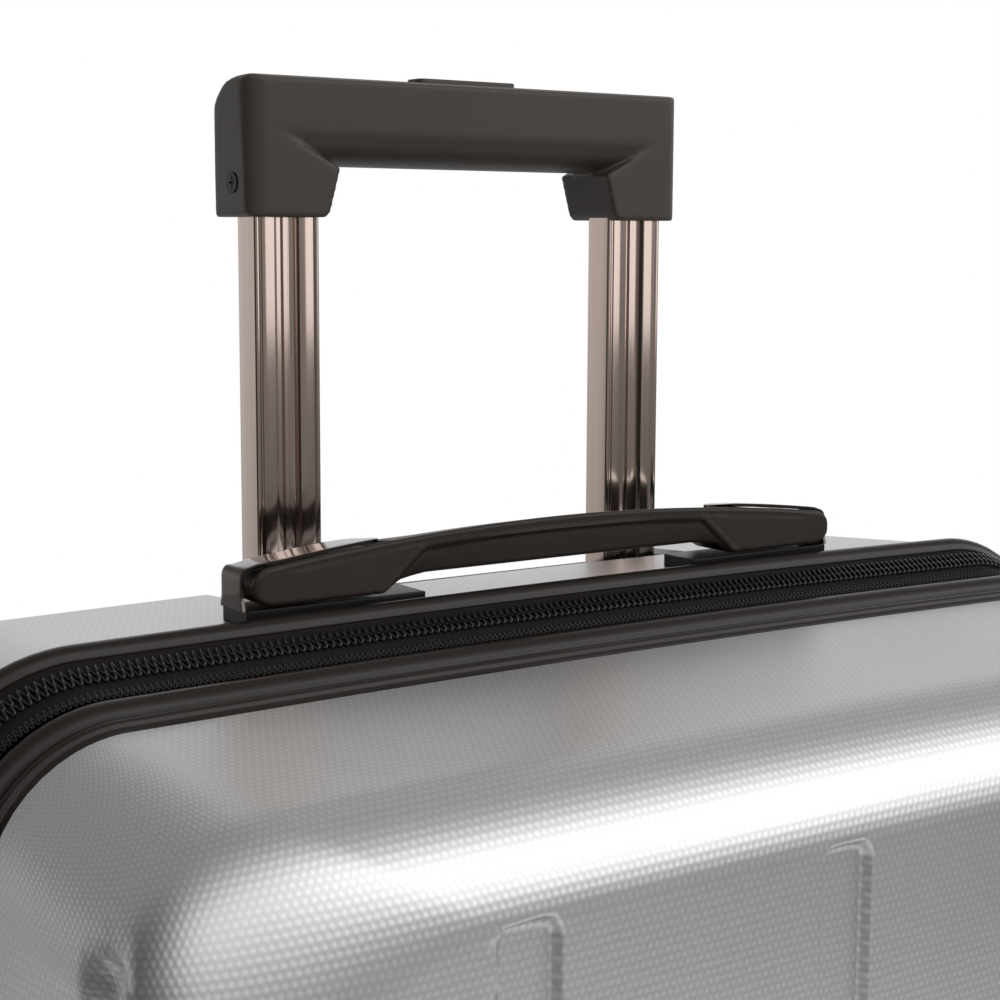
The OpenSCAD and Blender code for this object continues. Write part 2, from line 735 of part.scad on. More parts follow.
module lock_body() {
    mid = lock_y + lock_w / 2;
    color([0.13, 0.13, 0.13]) difference() {
        translate([lock_x - lock_deep, lock_y, lock_z - lock_h / 2]) cube([lock_deep, lock_w, lock_h]);
        for (z = dial_z) translate([dial_x - dial_r - 0.5, mid - dial_r - 0.5, z - dial_t / 2 - 0.3])
            cube([2 * dial_r + 10, 2 * dial_r + 1, dial_t + 0.6]);
        translate([lock_x - 4, mid - 5.3, release_z - 6.3]) cube([10, 10.6, 12.6 + release_travel]);
        translate([lock_x - 12, mid, key_z]) rotate([0, 90, 0]) cylinder(r = key_r + run_gap, h = 20, $fn = 48);
    }
    color([0.6, 0.6, 0.6]) translate([dial_x, mid, dial_z[0] - dial_t])
        cylinder(r = dial_pin_r, h = dial_z[2] - dial_z[0] + 2 * dial_t, $fn = 32);
}

module lock_dial(n) {
    color([0.7, 0.7, 0.7]) translate([dial_x, lock_y + lock_w / 2, dial_z[n] - dial_t / 2]) difference() {
        cylinder(r = dial_r, h = dial_t, $fn = 60);
        translate([0, 0, -1]) cylinder(r = dial_pin_r + run_gap, h = dial_t + 2, $fn = 32);
        for (i = [0:9]) rotate([0, 0, 36 * i]) translate([dial_r + 0.5, 0, -1]) cylinder(r = 0.9, h = dial_t + 2, $fn = 16);
    }
}

module lock_release() {
    color([0.35, 0.35, 0.36]) translate([lock_x - 3.7, lock_y + lock_w / 2 - 5, release_z - 6]) {
        cube([4.6, 10, 12]);
        translate([4.6, 0, 5]) cube([0.8, 10, 2]);
    }
}

module key_cylinder() {
    color([0.6, 0.55, 0.4]) translate([lock_x - 12, lock_y + lock_w / 2, key_z]) rotate([0, 90, 0]) difference() {
        cylinder(r = key_r, h = 12.4, $fn = 48);
        translate([-0.6, -2.6, 9]) cube([1.2, 5.2, 10]);
    }
}

function coil_x(y) = half_w - tape_d(y) + coil_h;

module zip_slider(s) {
    z = lock_z + s * slider_z;
    x = coil_x(zip_y) + 1.9;
    color([0.3, 0.3, 0.31]) translate([x, zip_y, z]) {
        translate([0, -6.5, -slider_l / 2]) cube([slider_h, 13, slider_l]);
        difference() {
            translate([slider_h, -4, -2.4]) cube([3.4, 8, 4.8]);
            translate([slider_h + 1.6, -5, 0]) rotate([-90, 0, 0]) cylinder(r = pull_pin_r + run_gap, h = 10, $fn = 24);
            translate([slider_h - 1, -2.2, -3]) cube([6, 4.4, 6]);
        }
    }
}

module zip_pull(s) {
    z = lock_z + s * slider_z;
    x = coil_x(zip_y) + 1.9 + slider_h + 1.6;
    color([0.4, 0.4, 0.41]) translate([x, zip_y, z]) {
        translate([0, -4, 0]) rotate([-90, 0, 0]) cylinder(r = pull_pin_r, h = 8, $fn = 24);
        translate([-pull_t / 2, -1.8, -9]) cube([pull_t, 3.6, 9]);
        translate([-pull_t / 2, -pull_w / 2, -pull_l]) cube([pull_t, pull_w, pull_l - 9]);
    }
}

// ---------- what is drawn ----------

back_shell();
back_trim();
back_zip_tape();
back_zip_coil();
back_lining();
outer_tubes();
trolley_bezel();
tube_foot();
top_handle_bases();
side_handle_bases();
hinge_tape();
lock_body();
rear_caster_housings();
front_zip_tape();
front_zip_coil();
gusset();
expander_coil_rear();
front_shell();
front_trim();
expander_coil_front();
front_lining();
front_caster_housings();
inner_tubes();
tube_plugs();
grip_shell();
grip_screws();
release_button();
push_rods();
button_spring();
lock_pins();
top_handle_grip();
top_handle_straps();
side_handle_grip();
side_handle_straps();
lock_dial(0);  // lock_dial_1
lock_dial(1);  // lock_dial_2
lock_dial(2);  // lock_dial_3
lock_release();
key_cylinder();
zip_slider(1);  // zip_slider_upper
zip_slider(-1);  // zip_slider_lower
zip_pull(1);  // zip_pull_upper
zip_pull(-1);  // zip_pull_lower
fork(-1, rear_y);  // fork_rear_left
fork(1, rear_y);  // fork_rear_right
fork(-1, fore_y);  // fork_front_left
fork(1, fore_y);  // fork_front_right
axle(-1, rear_y);  // axle_rear_left
axle(1, rear_y);  // axle_rear_right
axle(-1, fore_y);  // axle_front_left
axle(1, fore_y);  // axle_front_right
wheel(-1, rear_y, -1);  // wheel_rear_left_1
wheel(-1, rear_y, 1);  // wheel_rear_left_2
wheel(1, rear_y, -1);  // wheel_rear_right_1
wheel(1, rear_y, 1);  // wheel_rear_right_2
wheel(-1, fore_y, -1);  // wheel_front_left_1
wheel(-1, fore_y, 1);  // wheel_front_left_2
wheel(1, fore_y, -1);  // wheel_front_right_1
wheel(1, fore_y, 1);  // wheel_front_right_2
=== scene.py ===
"""Looks of the hard shell suitcase on casters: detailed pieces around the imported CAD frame."""
import math
import bpy
import bmesh
import numpy as np
from mathutils import Matrix, Vector


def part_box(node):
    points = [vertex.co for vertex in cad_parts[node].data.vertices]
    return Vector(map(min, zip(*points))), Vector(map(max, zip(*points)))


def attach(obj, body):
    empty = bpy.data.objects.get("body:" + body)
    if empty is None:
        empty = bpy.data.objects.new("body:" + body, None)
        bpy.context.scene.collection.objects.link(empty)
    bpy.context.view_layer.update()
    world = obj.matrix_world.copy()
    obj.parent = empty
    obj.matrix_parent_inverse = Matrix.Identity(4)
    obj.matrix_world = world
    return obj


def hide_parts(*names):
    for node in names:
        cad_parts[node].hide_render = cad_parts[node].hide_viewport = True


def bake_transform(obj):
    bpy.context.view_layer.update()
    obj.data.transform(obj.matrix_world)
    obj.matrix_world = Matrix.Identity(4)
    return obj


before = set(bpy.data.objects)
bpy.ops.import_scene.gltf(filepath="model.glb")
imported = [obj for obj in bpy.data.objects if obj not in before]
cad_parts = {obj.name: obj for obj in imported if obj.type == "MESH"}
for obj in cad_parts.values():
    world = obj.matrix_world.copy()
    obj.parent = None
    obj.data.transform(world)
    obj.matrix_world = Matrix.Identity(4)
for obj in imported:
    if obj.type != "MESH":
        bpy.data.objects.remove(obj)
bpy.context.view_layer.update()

MM = 0.001


# ---------- sizes in millimetres, read from the frame ----------

def mm_box(node):
    low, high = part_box(node)
    return np.array(low) / MM, np.array(high) / MM


trim_low, trim_high = mm_box("back_trim")
back_low, back_high = mm_box("back_shell")
front_low, front_high = mm_box("front_shell")
handle_low_pt, handle_high_pt = mm_box("top_handle_grip")

HALF_W = trim_high[0]
MID_Z = (trim_low[2] + trim_high[2]) / 2
HALF_H = trim_high[2] - MID_Z
BACK_RIM_Y = back_low[1] - 2
SHELL_RIM_Y = back_low[1]
FRONT_RIM_Y = front_high[1]
FRONT_DEPTH = front_high[1] - front_low[1]
BACK_DEPTH = back_high[1] - back_low[1]
BAND_INSET = HALF_W - front_high[0]
BACK_INSET = 3.0
CORNER_R = 63.0
SHOULDER_R = 37.0
SHELL_T = 2.6
TOP_CROWN, SIDE_CROWN = 3.1, 2.0
CORNER_GROWTH = 0.5
FRONT_DRAFT, BACK_DRAFT = 7.0, 4.0
BAND_SLOPE = BAND_INSET / (BACK_RIM_Y - FRONT_RIM_Y)
TAPE_SINK = 1.5
ZIP_Y = -3.6
EXPANDER_Y = -13.2
BEAD_R, BEAD_Y = 4.6, 9.4


def tape_inset(y):
    return (BACK_RIM_Y - y) * BAND_SLOPE + TAPE_SINK


# ---------- node materials ----------

DOT_PITCH, ROW_PITCH, LATTICE_MM = 2.55, 2.6, 0.055


class Nodes:
    """Short calls that add nodes to a tree and wire them."""

    def __init__(self, tree):
        self.tree = tree

    def add(self, kind, **settings):
        n = self.tree.nodes.new(kind)
        for key, value in settings.items():
            setattr(n, key, value)
        return n

    def plug(self, socket, value):
        if hasattr(value, "is_output"):
            self.tree.links.new(value, socket)
        else:
            socket.default_value = value

    def math(self, operation, *values, clamp=False):
        n = self.add("ShaderNodeMath", operation=operation, use_clamp=clamp)
        for socket, value in zip(n.inputs, values):
            self.plug(socket, value)
        return n.outputs[0]

    def remap(self, value, low, high, from_low=0.0, from_high=1.0, curve="LINEAR"):
        n = self.add("ShaderNodeMapRange", interpolation_type=curve)
        for socket, v in zip(n.inputs[:5], (value, from_low, from_high, low, high)):
            self.plug(socket, v)
        return n.outputs[0]


class Shader(Nodes):
    """A material with one Principled shader, and what its surface is made of."""

    def __init__(self, name, colour, rough, metallic=0.0, coat=0.0, coat_rough=0.1, specular=0.5, sheen=0.0):
        self.material = bpy.data.materials.new(name)
        self.material.use_nodes = True
        super().__init__(self.material.node_tree)
        self.shader = self.tree.nodes["Principled BSDF"]
        values = {"Base Color": (*colour, 1), "Roughness": rough, "Metallic": metallic, "Coat Weight": coat,
                  "Coat Roughness": coat_rough, "Specular IOR Level": specular, "Sheen Weight": sheen}
        for socket, value in values.items():
            self.shader.inputs[socket].default_value = value
        self.material.diffuse_color = (*colour, 1)

    def node(self, kind, **inputs):
        n = self.add(kind)
        for key, value in inputs.items():
            self.plug(n.inputs[key.replace("_", " ")], value)
        return n

    def coords(self, kind="Object", scale=(1, 1, 1)):
        source = self.add("ShaderNodeTexCoord").outputs[kind]
        return self.node("ShaderNodeMapping", Vector=source, Scale=scale).outputs[0]

    def noise(self, vector, scale, detail=3.0, rough=0.55):
        return self.node("ShaderNodeTexNoise", Vector=vector, Scale=scale, Detail=detail,
                         Roughness=rough).outputs["Fac"]

    def uv(self):
        source = self.add("ShaderNodeTexCoord").outputs["UV"]
        return self.node("ShaderNodeSeparateXYZ", Vector=source).outputs[:2]

    def wave(self, value, pitch):
        return self.math("COSINE", self.math("MULTIPLY", value, 2 * math.pi / pitch))

    def ramp_colour(self, value, dark, light):
        n = self.add("ShaderNodeValToRGB")
        self.plug(n.inputs[0], value)
        n.color_ramp.elements[0].color = (*dark, 1)
        n.color_ramp.elements[1].color = (*light, 1)
        self.plug(self.shader.inputs["Base Color"], n.outputs[0])

    def rough(self, value, low, high):
        self.plug(self.shader.inputs["Roughness"], self.remap(value, low, high))

    def bump(self, height, depth_mm, strength=1.0):
        n = self.node("ShaderNodeBump", Height=height, Distance=depth_mm * MM, Strength=strength)
        if self.shader.inputs["Normal"].is_linked:
            self.plug(n.inputs["Normal"], self.shader.inputs["Normal"].links[0].from_socket)
        self.plug(self.shader.inputs["Normal"], n.outputs[0])


def shell_material():
    """Silver film over a pressed pattern of small domes in staggered rows."""
    s = Shader("silver_shell", (0.60, 0.605, 0.61), 0.30, metallic=0.92, coat=0.10, coat_rough=0.3)
    u, v = s.uv()
    across, along = s.wave(u, DOT_PITCH), s.wave(v, 2 * ROW_PITCH)
    rows = s.math("MULTIPLY", along, along)
    dots = s.math("ADD", s.math("MULTIPLY", across, along), rows)
    lattice = s.remap(dots, 0.0, 1.0, -0.25, 2.0)
    cloud = s.noise(s.coords(), 14.0, 4.0)
    # The base colour follows the pressed domes, lighter on their tops and darker between them: painted
    # highlight and painted shade of the domes.
    s.ramp_colour(lattice, (0.53, 0.532, 0.54), (0.63, 0.632, 0.64))
    s.rough(cloud, 0.335, 0.405)
    s.bump(s.noise(s.coords(), 900.0, 2.0), 0.012, 0.4)
    s.bump(lattice, LATTICE_MM, 0.9)
    return s.material


def plastic(name, dark, light, rough, grain_mm=0.5, grain_depth=0.03, specular=0.5):
    """Moulded plastic: fine grain, slightly uneven gloss and a faint change of colour."""
    s = Shader(name, light, rough, specular=specular)
    s.ramp_colour(s.noise(s.coords(), 30.0, 4.0), dark, light)
    s.rough(s.noise(s.coords(), 60.0, 3.0), rough * 0.88, min(1.0, rough * 1.14))
    s.bump(s.noise(s.coords(), 1000.0 / grain_mm, 1.5), grain_depth, 0.8)
    return s.material


def metal(name, dark, light, rough, stretch=(1, 1, 1), lines=500.0):
    """Metal with fine drawn lines along the axis whose stretch is small."""
    s = Shader(name, light, rough, metallic=1.0)
    streaks = s.noise(s.coords(scale=stretch), lines, 3.0, 0.65)
    s.ramp_colour(streaks, dark, light)
    s.rough(streaks, rough * 0.8, rough * 1.25)
    s.bump(streaks, 0.012, 0.5)
    return s.material


def woven(name, dark, light, pitch_u, pitch_v, rough=0.85, depth=0.18, herringbone=0.0, sheen=0.02):
    """Cloth from UV in millimetres: crossing threads, which herringbone folds to and fro at its pitch."""
    s = Shader(name, light, rough, specular=0.12, sheen=sheen)
    u, v = s.uv()
    if herringbone:
        u = s.math("ADD", u, s.math("PINGPONG", v, herringbone))
    threads = s.math("ADD", s.wave(u, pitch_u), s.wave(v, pitch_v))
    threads = s.remap(threads, 0.0, 1.0, -2.0, 2.0)
    fuzz = s.noise(s.coords(), 1500.0, 2.0)
    s.ramp_colour(s.math("MULTIPLY_ADD", threads, 0.7, clamp=True), dark, light)
    s.rough(fuzz, rough * 0.9, min(1.0, rough * 1.1))
    s.bump(fuzz, 0.05, 0.5)
    s.bump(threads, depth, 0.9)
    return s.material


SHELL = shell_material()
TRIM = plastic("trim_pvc", (0.008, 0.0055, 0.0045), (0.013, 0.009, 0.0075), 0.22, 1.2, 0.015, specular=0.26)
BLACK = plastic("black_plastic", (0.006, 0.006, 0.006), (0.012, 0.0115, 0.0115), 0.42, specular=0.3)
GRIP = plastic("grip_plastic", (0.030, 0.0235, 0.0190), (0.046, 0.036, 0.029), 0.42, 0.6, 0.07, specular=0.3)
SOFT = plastic("handle_rubber", (0.0155, 0.0112, 0.0088), (0.0255, 0.0180, 0.0138), 0.42, 0.6, 0.03,
               specular=0.24)
COIL = plastic("coil_nylon", (0.006, 0.005, 0.005), (0.012, 0.011, 0.010), 0.13, 0.4, 0.01, specular=0.45)
RUBBER = plastic("wheel_rubber", (0.012, 0.012, 0.012), (0.028, 0.028, 0.028), 0.62, 0.5, 0.04)
HUB = plastic("wheel_hub", (0.20, 0.20, 0.205), (0.27, 0.27, 0.28), 0.38, 0.6, 0.02)
TUBE = metal("anodised_tube", (0.46, 0.36, 0.315), (0.57, 0.465, 0.415), 0.11, stretch=(1, 1, 0.01),
             lines=700.0)
GUNMETAL = metal("gunmetal", (0.070, 0.059, 0.054), (0.095, 0.082, 0.075), 0.06, stretch=(0.05, 1, 1),
                 lines=300.0)
SCREW = plastic("black_steel", (0.004, 0.004, 0.004), (0.007, 0.007, 0.007), 0.35, 0.8, 0.01, specular=0.2)
STEEL = metal("steel", (0.45, 0.45, 0.46), (0.62, 0.62, 0.63), 0.25)
BRASS = metal("brass", (0.45, 0.36, 0.18), (0.62, 0.52, 0.30), 0.25)
DIAL = plastic("dial_plastic", (0.50, 0.50, 0.51), (0.62, 0.62, 0.63), 0.35, 0.8, 0.015)
INK = plastic("dial_ink", (0.01, 0.01, 0.01), (0.02, 0.02, 0.02), 0.5)
TAPE = woven("zip_tape_weave", (0.0020, 0.0017, 0.0016), (0.0078, 0.0067, 0.0057), 0.9, 1.4, herringbone=2.6)
LINING = woven("lining_cloth", (0.045, 0.047, 0.052), (0.085, 0.088, 0.096), 0.8, 0.8, rough=0.7, depth=0.05,
               sheen=0.2)
SLEEVE = woven("sleeve_cloth", (0.006, 0.006, 0.007), (0.016, 0.016, 0.018), 1.1, 1.1, depth=0.1)


# ---------- meshes ----------

def new_object(name, data):
    obj = bpy.data.objects.new(name, data)
    bpy.context.collection.objects.link(obj)
    return obj


def turn_out(mesh, weld=False):
    """Turns a closed mesh's faces outward, after welding the points that meet if asked."""
    bm = bmesh.new()
    bm.from_mesh(mesh)
    if weld:
        bmesh.ops.remove_doubles(bm, verts=bm.verts, dist=0.02 * MM)
    bmesh.ops.recalc_face_normals(bm, faces=bm.faces)
    bm.to_mesh(mesh)
    bm.free()


def piece(name, points, faces, material, body, replaced=(), uvs=None, sharp=38.0, weld=False):
    """A mesh object from points in millimetres, riding on its body if it has one; uvs are per face corner."""
    mesh = bpy.data.meshes.new(name)
    mesh.from_pydata((np.asarray(points, float) * MM).tolist(), [], [list(map(int, f)) for f in faces])
    if uvs is not None:
        layer = mesh.uv_layers.new(name="UVMap")
        layer.data.foreach_set("uv", np.asarray(uvs, np.float32).ravel())
    if weld:
        turn_out(mesh, weld=True)
    return finish_piece(new_object(name, mesh), material, body, replaced, sharp)


def finish_piece(obj, material, body, replaced=(), sharp=38.0):
    obj.data.materials.clear()
    obj.data.materials.append(material)
    obj.data.polygons.foreach_set("use_smooth", [True] * len(obj.data.polygons))
    obj.data.set_sharp_from_angle(angle=math.radians(sharp))
    if body:
        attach(obj, body)
    if replaced:
        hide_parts(*replaced)
    return obj


def strip_faces(columns, rows, closed_columns=True, closed_rows=False):
    """Quads of a grid whose points run along the columns first."""
    faces = []
    for k in range(rows if closed_rows else rows - 1):
        k2 = (k + 1) % rows
        for i in range(columns if closed_columns else columns - 1):
            i2 = (i + 1) % columns
            faces.append((k * columns + i, k * columns + i2, k2 * columns + i2, k2 * columns + i))
    return faces


def shifted(faces, start):
    return [tuple(start + v for v in f) for f in faces]


def corner_uvs(uv, faces):
    """The UV of each face corner, from a UV for each point."""
    return uv[np.concatenate([np.array(f) for f in faces])]


def grid_uvs(us, vs):
    """Face corner UVs for strip_faces: us has one more value than the columns when they close."""
    out = []
    for k in range(len(vs) - 1):
        for i in range(len(us) - 1):
            out += [(us[i], vs[k]), (us[i + 1], vs[k]), (us[i + 1], vs[k + 1]), (us[i], vs[k + 1])]
    return out


def apply_modifiers(obj):
    graph = bpy.context.evaluated_depsgraph_get()
    mesh = bpy.data.meshes.new_from_object(obj.evaluated_get(graph))
    obj.modifiers.clear()
    old, obj.data = obj.data, mesh
    bpy.data.meshes.remove(old)


def cut_out(obj, cutters):
    """Removes each closed cutter mesh (points in mm, faces) from the object."""
    made = []
    for points, faces in cutters:
        mesh = bpy.data.meshes.new("cutter")
        mesh.from_pydata((np.asarray(points, float) * MM).tolist(), [], faces)
        turn_out(mesh)
        cutter = new_object("cutter", mesh)
        modifier = obj.modifiers.new("cut", "BOOLEAN")
        modifier.operation, modifier.solver, modifier.object = "DIFFERENCE", "EXACT", cutter
        made.append(cutter)
    bpy.context.view_layer.update()
    apply_modifiers(obj)
    for cutter in made:
        mesh = cutter.data
        bpy.data.objects.remove(cutter)
        bpy.data.meshes.remove(mesh)


def box_solid(low, high):
    points = [(x, y, z) for x in (low[0], high[0]) for y in (low[1], high[1]) for z in (low[2], high[2])]
    return points, [(0, 1, 3, 2), (4, 6, 7, 5), (0, 4, 5, 1), (2, 3, 7, 6), (0, 2, 6, 4), (1, 5, 7, 3)]


# ---------- rounded, crowned rings ----------

HALF_CORNER = np.array([0, 1, 2, 3, 5, 8, 12, 17, 23, 30, 37.5])
CORNER_DEG = np.concatenate([HALF_CORNER, [45], 90 - HALF_CORNER[::-1]])


def crowned(x, z):
    return (x - np.sign(x) * SIDE_CROWN * (z / HALF_H) ** 2 * np.abs(x) / HALF_W,
            z - np.sign(z) * TOP_CROWN * (x / HALF_W) ** 2 * np.abs(z) / HALF_H)


def ring_parts(xs, zs):
    """For each point of a ring: corner sign (x, z), outward normal, and x or z where a side is straight."""
    rows = []
    xs, zs = np.sort(xs), np.sort(zs)
    for q, (sx, sz) in enumerate(((1, 1), (-1, 1), (-1, -1), (1, -1))):
        for a in np.radians(CORNER_DEG + 90 * q):
            rows.append((sx, sz, math.cos(a), math.sin(a), np.nan, np.nan))
        for x in ([xs[::-1], [], xs, []][q]):
            rows.append((0, sz, 0, sz, x, np.nan))
        for z in ([[], zs[::-1], [], zs][q]):
            rows.append((sx, 0, sx, 0, np.nan, z))
    return np.array(rows, float)


def ring_xz(parts, d, r):
    """The ring's points before crowning, its sides d inside the rim and its corners of radius r."""
    cx, cz = parts[:, 0] * (HALF_W - d - r), parts[:, 1] * (HALF_H - d - r)
    x = np.where(np.isnan(parts[:, 4]), cx + parts[:, 2] * r, parts[:, 4])
    z = np.where(np.isnan(parts[:, 5]), cz + parts[:, 3] * r, parts[:, 5])
    return x, z


def ring_at(parts, y, d, r):
    x, z = crowned(*ring_xz(parts, d, r))
    return np.stack([x, np.full_like(x, y), z + MID_Z], 1)


BAND_PARTS = ring_parts(np.linspace(-180, 180, 31), np.linspace(-275, 275, 45))


def smooth_outline(outline, steps):
    """A closed outline with Catmull-Rom points between its own."""
    p = np.array(outline, float)
    n = len(p)
    out = []
    for i in range(n):
        a, b, c, d = p[(i - 1) % n], p[i], p[(i + 1) % n], p[(i + 2) % n]
        for t in np.arange(steps) / steps:
            out.append(0.5 * ((2 * b) + (c - a) * t + (2 * a - 5 * b + 4 * c - d) * t ** 2
                              + (3 * b - a - 3 * c + d) * t ** 3))
    return np.array(out)


def run_length(path):
    """Distance along a path of points, from 0 at its first."""
    return np.concatenate([[0], np.cumsum(np.linalg.norm(np.diff(path, axis=0), axis=1))])


def closed_path(path):
    return np.vstack([path, path[:1]])


def hoop(name, outline, steps, material, body, replaced):
    """A band round the case whose section is the closed outline of (y, inset)."""
    section = smooth_outline(outline, steps) if steps > 1 else np.array(outline, float)
    rings = [ring_at(BAND_PARTS, y, d, CORNER_R - d) for y, d in section]
    uvs = grid_uvs(run_length(closed_path(rings[0])), run_length(closed_path(section)))
    faces = strip_faces(len(BAND_PARTS), len(section), closed_rows=True)
    return piece(name, np.concatenate(rings), faces, material, body, replaced, uvs)


# ---------- shells ----------

FLUTE_X = (-119.0, 0.0, 119.0)
FLUTE_HALF = 11.3
FLUTE_DEPTH = 3.8
FLUTE_WALL = 2.6
FLUTE_ROUND = 7.0
FLUTE_TOP, FLUTE_BOTTOM = 289.0, -289.0
SIDE_FLUTE_X = 200
LEDGE_T = 3.0
SHELL_SHARP = 50


def smooth_step(t):
    t = np.clip(t, 0, 1)
    return t * t * (3 - 2 * t)


def flute_mask(across, along, half, low, high):
    """1 on the floor of a rounded slot, falling to 0 over its wall."""
    mid, reach = (low + high) / 2, (high - low) / 2
    qx = np.abs(across) - (half - FLUTE_ROUND)
    qy = np.abs(along - mid) - (reach - FLUTE_ROUND)
    outside = np.hypot(np.maximum(qx, 0), np.maximum(qy, 0)) + np.minimum(np.maximum(qx, qy), 0) - FLUTE_ROUND
    return smooth_step(-outside / FLUTE_WALL)


def line_set(low, high, step, marks, reach, fine):
    """Even lines from low to high, with fine ones round each mark."""
    lines = list(np.linspace(low, high, int((high - low) / step) + 1))
    for m in marks:
        lines = [v for v in lines if abs(v - m) > reach] + list(np.arange(m - reach, m + reach + 0.01, fine))
    return np.array(sorted(v for v in lines if low <= v <= high))


def profile(inset, draft, depth, r, in_by, arc_degrees, wall_steps):
    """Side and shoulder of a shell as rows of depth, inset."""
    t = math.radians(draft)
    straight = depth - r + r * math.sin(t)
    a = np.radians(arc_degrees)
    arc = np.stack([straight - r * math.sin(t) + (r - in_by) * np.sin(a),
                    inset + straight * math.tan(t) + r * math.cos(t) - (r - in_by) * np.cos(a)], 1)
    start = np.array([0, inset + in_by / math.cos(t)])
    wall = start + (arc[0] - start) * (np.arange(wall_steps) / wall_steps)[:, None]
    return np.vstack([wall, arc])


def press_flutes(points, rim_y, way, depth, side_flutes):
    """Moves the points of the face, then those of the sides, inward where the flutes are."""
    up = points[:, 2] - MID_Z
    on_face = np.abs(points[:, 1] - rim_y) > depth * 0.75
    push = np.zeros(len(points))
    for c in FLUTE_X:
        push = np.maximum(push, flute_mask(points[:, 0] - c, up, FLUTE_HALF, FLUTE_BOTTOM, FLUTE_TOP))
    points[:, 1] -= way * FLUTE_DEPTH * push * on_face
    for y0, half, low, high in side_flutes:
        on_side = np.abs(points[:, 0]) > SIDE_FLUTE_X
        push = flute_mask(points[:, 1] - y0, up, half, low, high) * on_side
        points[:, 0] -= np.sign(points[:, 0]) * FLUTE_DEPTH * push


def shell_points(rim_y, way, inset, draft, depth, in_by, side_flutes, xs, zs, parts):
    """Rings from the rim to the middle of the face, each as points and UV, then the grid of the middle."""
    arc = np.concatenate([np.linspace(draft, 81, 15), np.linspace(82.5, 90, 6)])
    prof = profile(inset, draft, depth, SHOULDER_R, in_by, arc, 12)
    face_d, face_depth = prof[-1][1], prof[-1][0]
    rim_r = CORNER_R - inset
    radius = rim_r + (prof[:, 1] - inset - in_by) * CORNER_GROWTH - in_by
    face_r = radius[-1]
    rows = [(rim_y + way * p[0], p[1], r) for p, r in zip(prof, radius)]
    steps = np.concatenate([np.arange(face_r - 1, face_r - 17, -1.0), np.linspace(face_r - 22, 7, 7),
                            [5, 4, 3, 2, 1, 0]])
    rows += [(rim_y + way * face_depth, face_d + face_r - r, r) for r in steps]
    along = run_length(prof)
    reach = np.concatenate([along[-1] - along, np.zeros(len(steps))])
    out, uvs = [], []
    for (y, d, r), s in zip(rows, reach):
        out.append(ring_at(parts, y, d, max(r, 0.0)))
        x, z = ring_xz(parts, d, max(r, 0.0))
        extra = s - (face_d - d) if s else 0.0
        uvs.append(np.stack([x + parts[:, 2] * extra, z + parts[:, 3] * extra], 1))
    gx, gz = np.meshgrid(xs, zs)
    x, z = crowned(gx.ravel(), gz.ravel())
    grid = np.stack([x, np.full_like(x, rim_y + way * face_depth), z + MID_Z], 1)
    points = np.concatenate(out + [grid])
    uv = np.concatenate(uvs + [np.stack([gx.ravel(), gz.ravel()], 1)])
    press_flutes(points, rim_y, way, depth, side_flutes)
    return points, uv, len(rows)


def shell(name, rim_y, way, inset, draft, depth, body, node, side_flutes=()):
    marks_x = [c + s * (FLUTE_HALF - FLUTE_WALL / 2) for c in FLUTE_X for s in (-1, 1)]
    t = math.radians(draft)
    straight = depth - SHOULDER_R * (1 - math.sin(t))
    face_inset = inset + straight * math.tan(t) + SHOULDER_R * math.cos(t)
    reach = CORNER_R + (face_inset - inset) * (1 + CORNER_GROWTH)
    flat_x, flat_z = HALF_W - reach, HALF_H - reach
    xs = line_set(-flat_x, flat_x, 9.0, marks_x, reach=2.4, fine=0.4)
    marks_z = [f[k] for f in side_flutes for k in (2, 3)]
    zs = line_set(-flat_z, flat_z, 16.0, marks_z, reach=8.0, fine=1.2)
    parts = ring_parts(xs[1:-1], zs[1:-1])
    data = [shell_points(rim_y, way, inset, draft, depth, in_by, side_flutes, xs, zs, parts)
            for in_by in (0.0, SHELL_T)]
    n, ring_n, rows = len(data[0][0]), len(parts), data[0][2]
    outer = strip_faces(ring_n, rows)
    outer += shifted(strip_faces(len(xs), len(zs), closed_columns=False), ring_n * rows)
    inner = [tuple(n + v for v in f[::-1]) for f in outer]
    rim = [(i, (i + 1) % ring_n, n + (i + 1) % ring_n, n + i) for i in range(ring_n)]
    points = np.concatenate([data[0][0], data[1][0]])
    uv = np.concatenate([data[0][1], data[1][1]])
    faces = outer + inner + rim
    return piece(name, points, faces, SHELL, body, (node,), corner_uvs(uv, faces),
                 sharp=SHELL_SHARP, weld=True)


shell("front_shell_skin", FRONT_RIM_Y, -1, BAND_INSET, FRONT_DRAFT, FRONT_DEPTH, "front_case", "front_shell",
      side_flutes=((front_low[1] + 34, 8.0, FLUTE_BOTTOM, FLUTE_TOP),))
back_shell = shell("back_shell_skin", SHELL_RIM_Y, 1, BACK_INSET, BACK_DRAFT, BACK_DEPTH, "case",
                   "back_shell")

bezel_low, bezel_high = mm_box("trolley_bezel")
grip_low, grip_high = mm_box("grip_shell")
lock_low, lock_high = mm_box("lock_body")
pocket_end = grip_high[1] + grip_low[1] - bezel_low[1]
above, behind, outside = bezel_high[2] + 60, 200, 20
cut_out(back_shell, [
    box_solid(bezel_low, (bezel_high[0], pocket_end, above)),
    box_solid((bezel_low[0], pocket_end - 1, bezel_high[2] - LEDGE_T), (bezel_high[0], behind, above)),
    box_solid(lock_low, lock_high + [outside, 0, 0])])
back_shell.data.polygons.foreach_set("use_smooth", [True] * len(back_shell.data.polygons))
back_shell.data.set_sharp_from_angle(angle=math.radians(SHELL_SHARP))


# ---------- zip band: trims, tapes and coils ----------

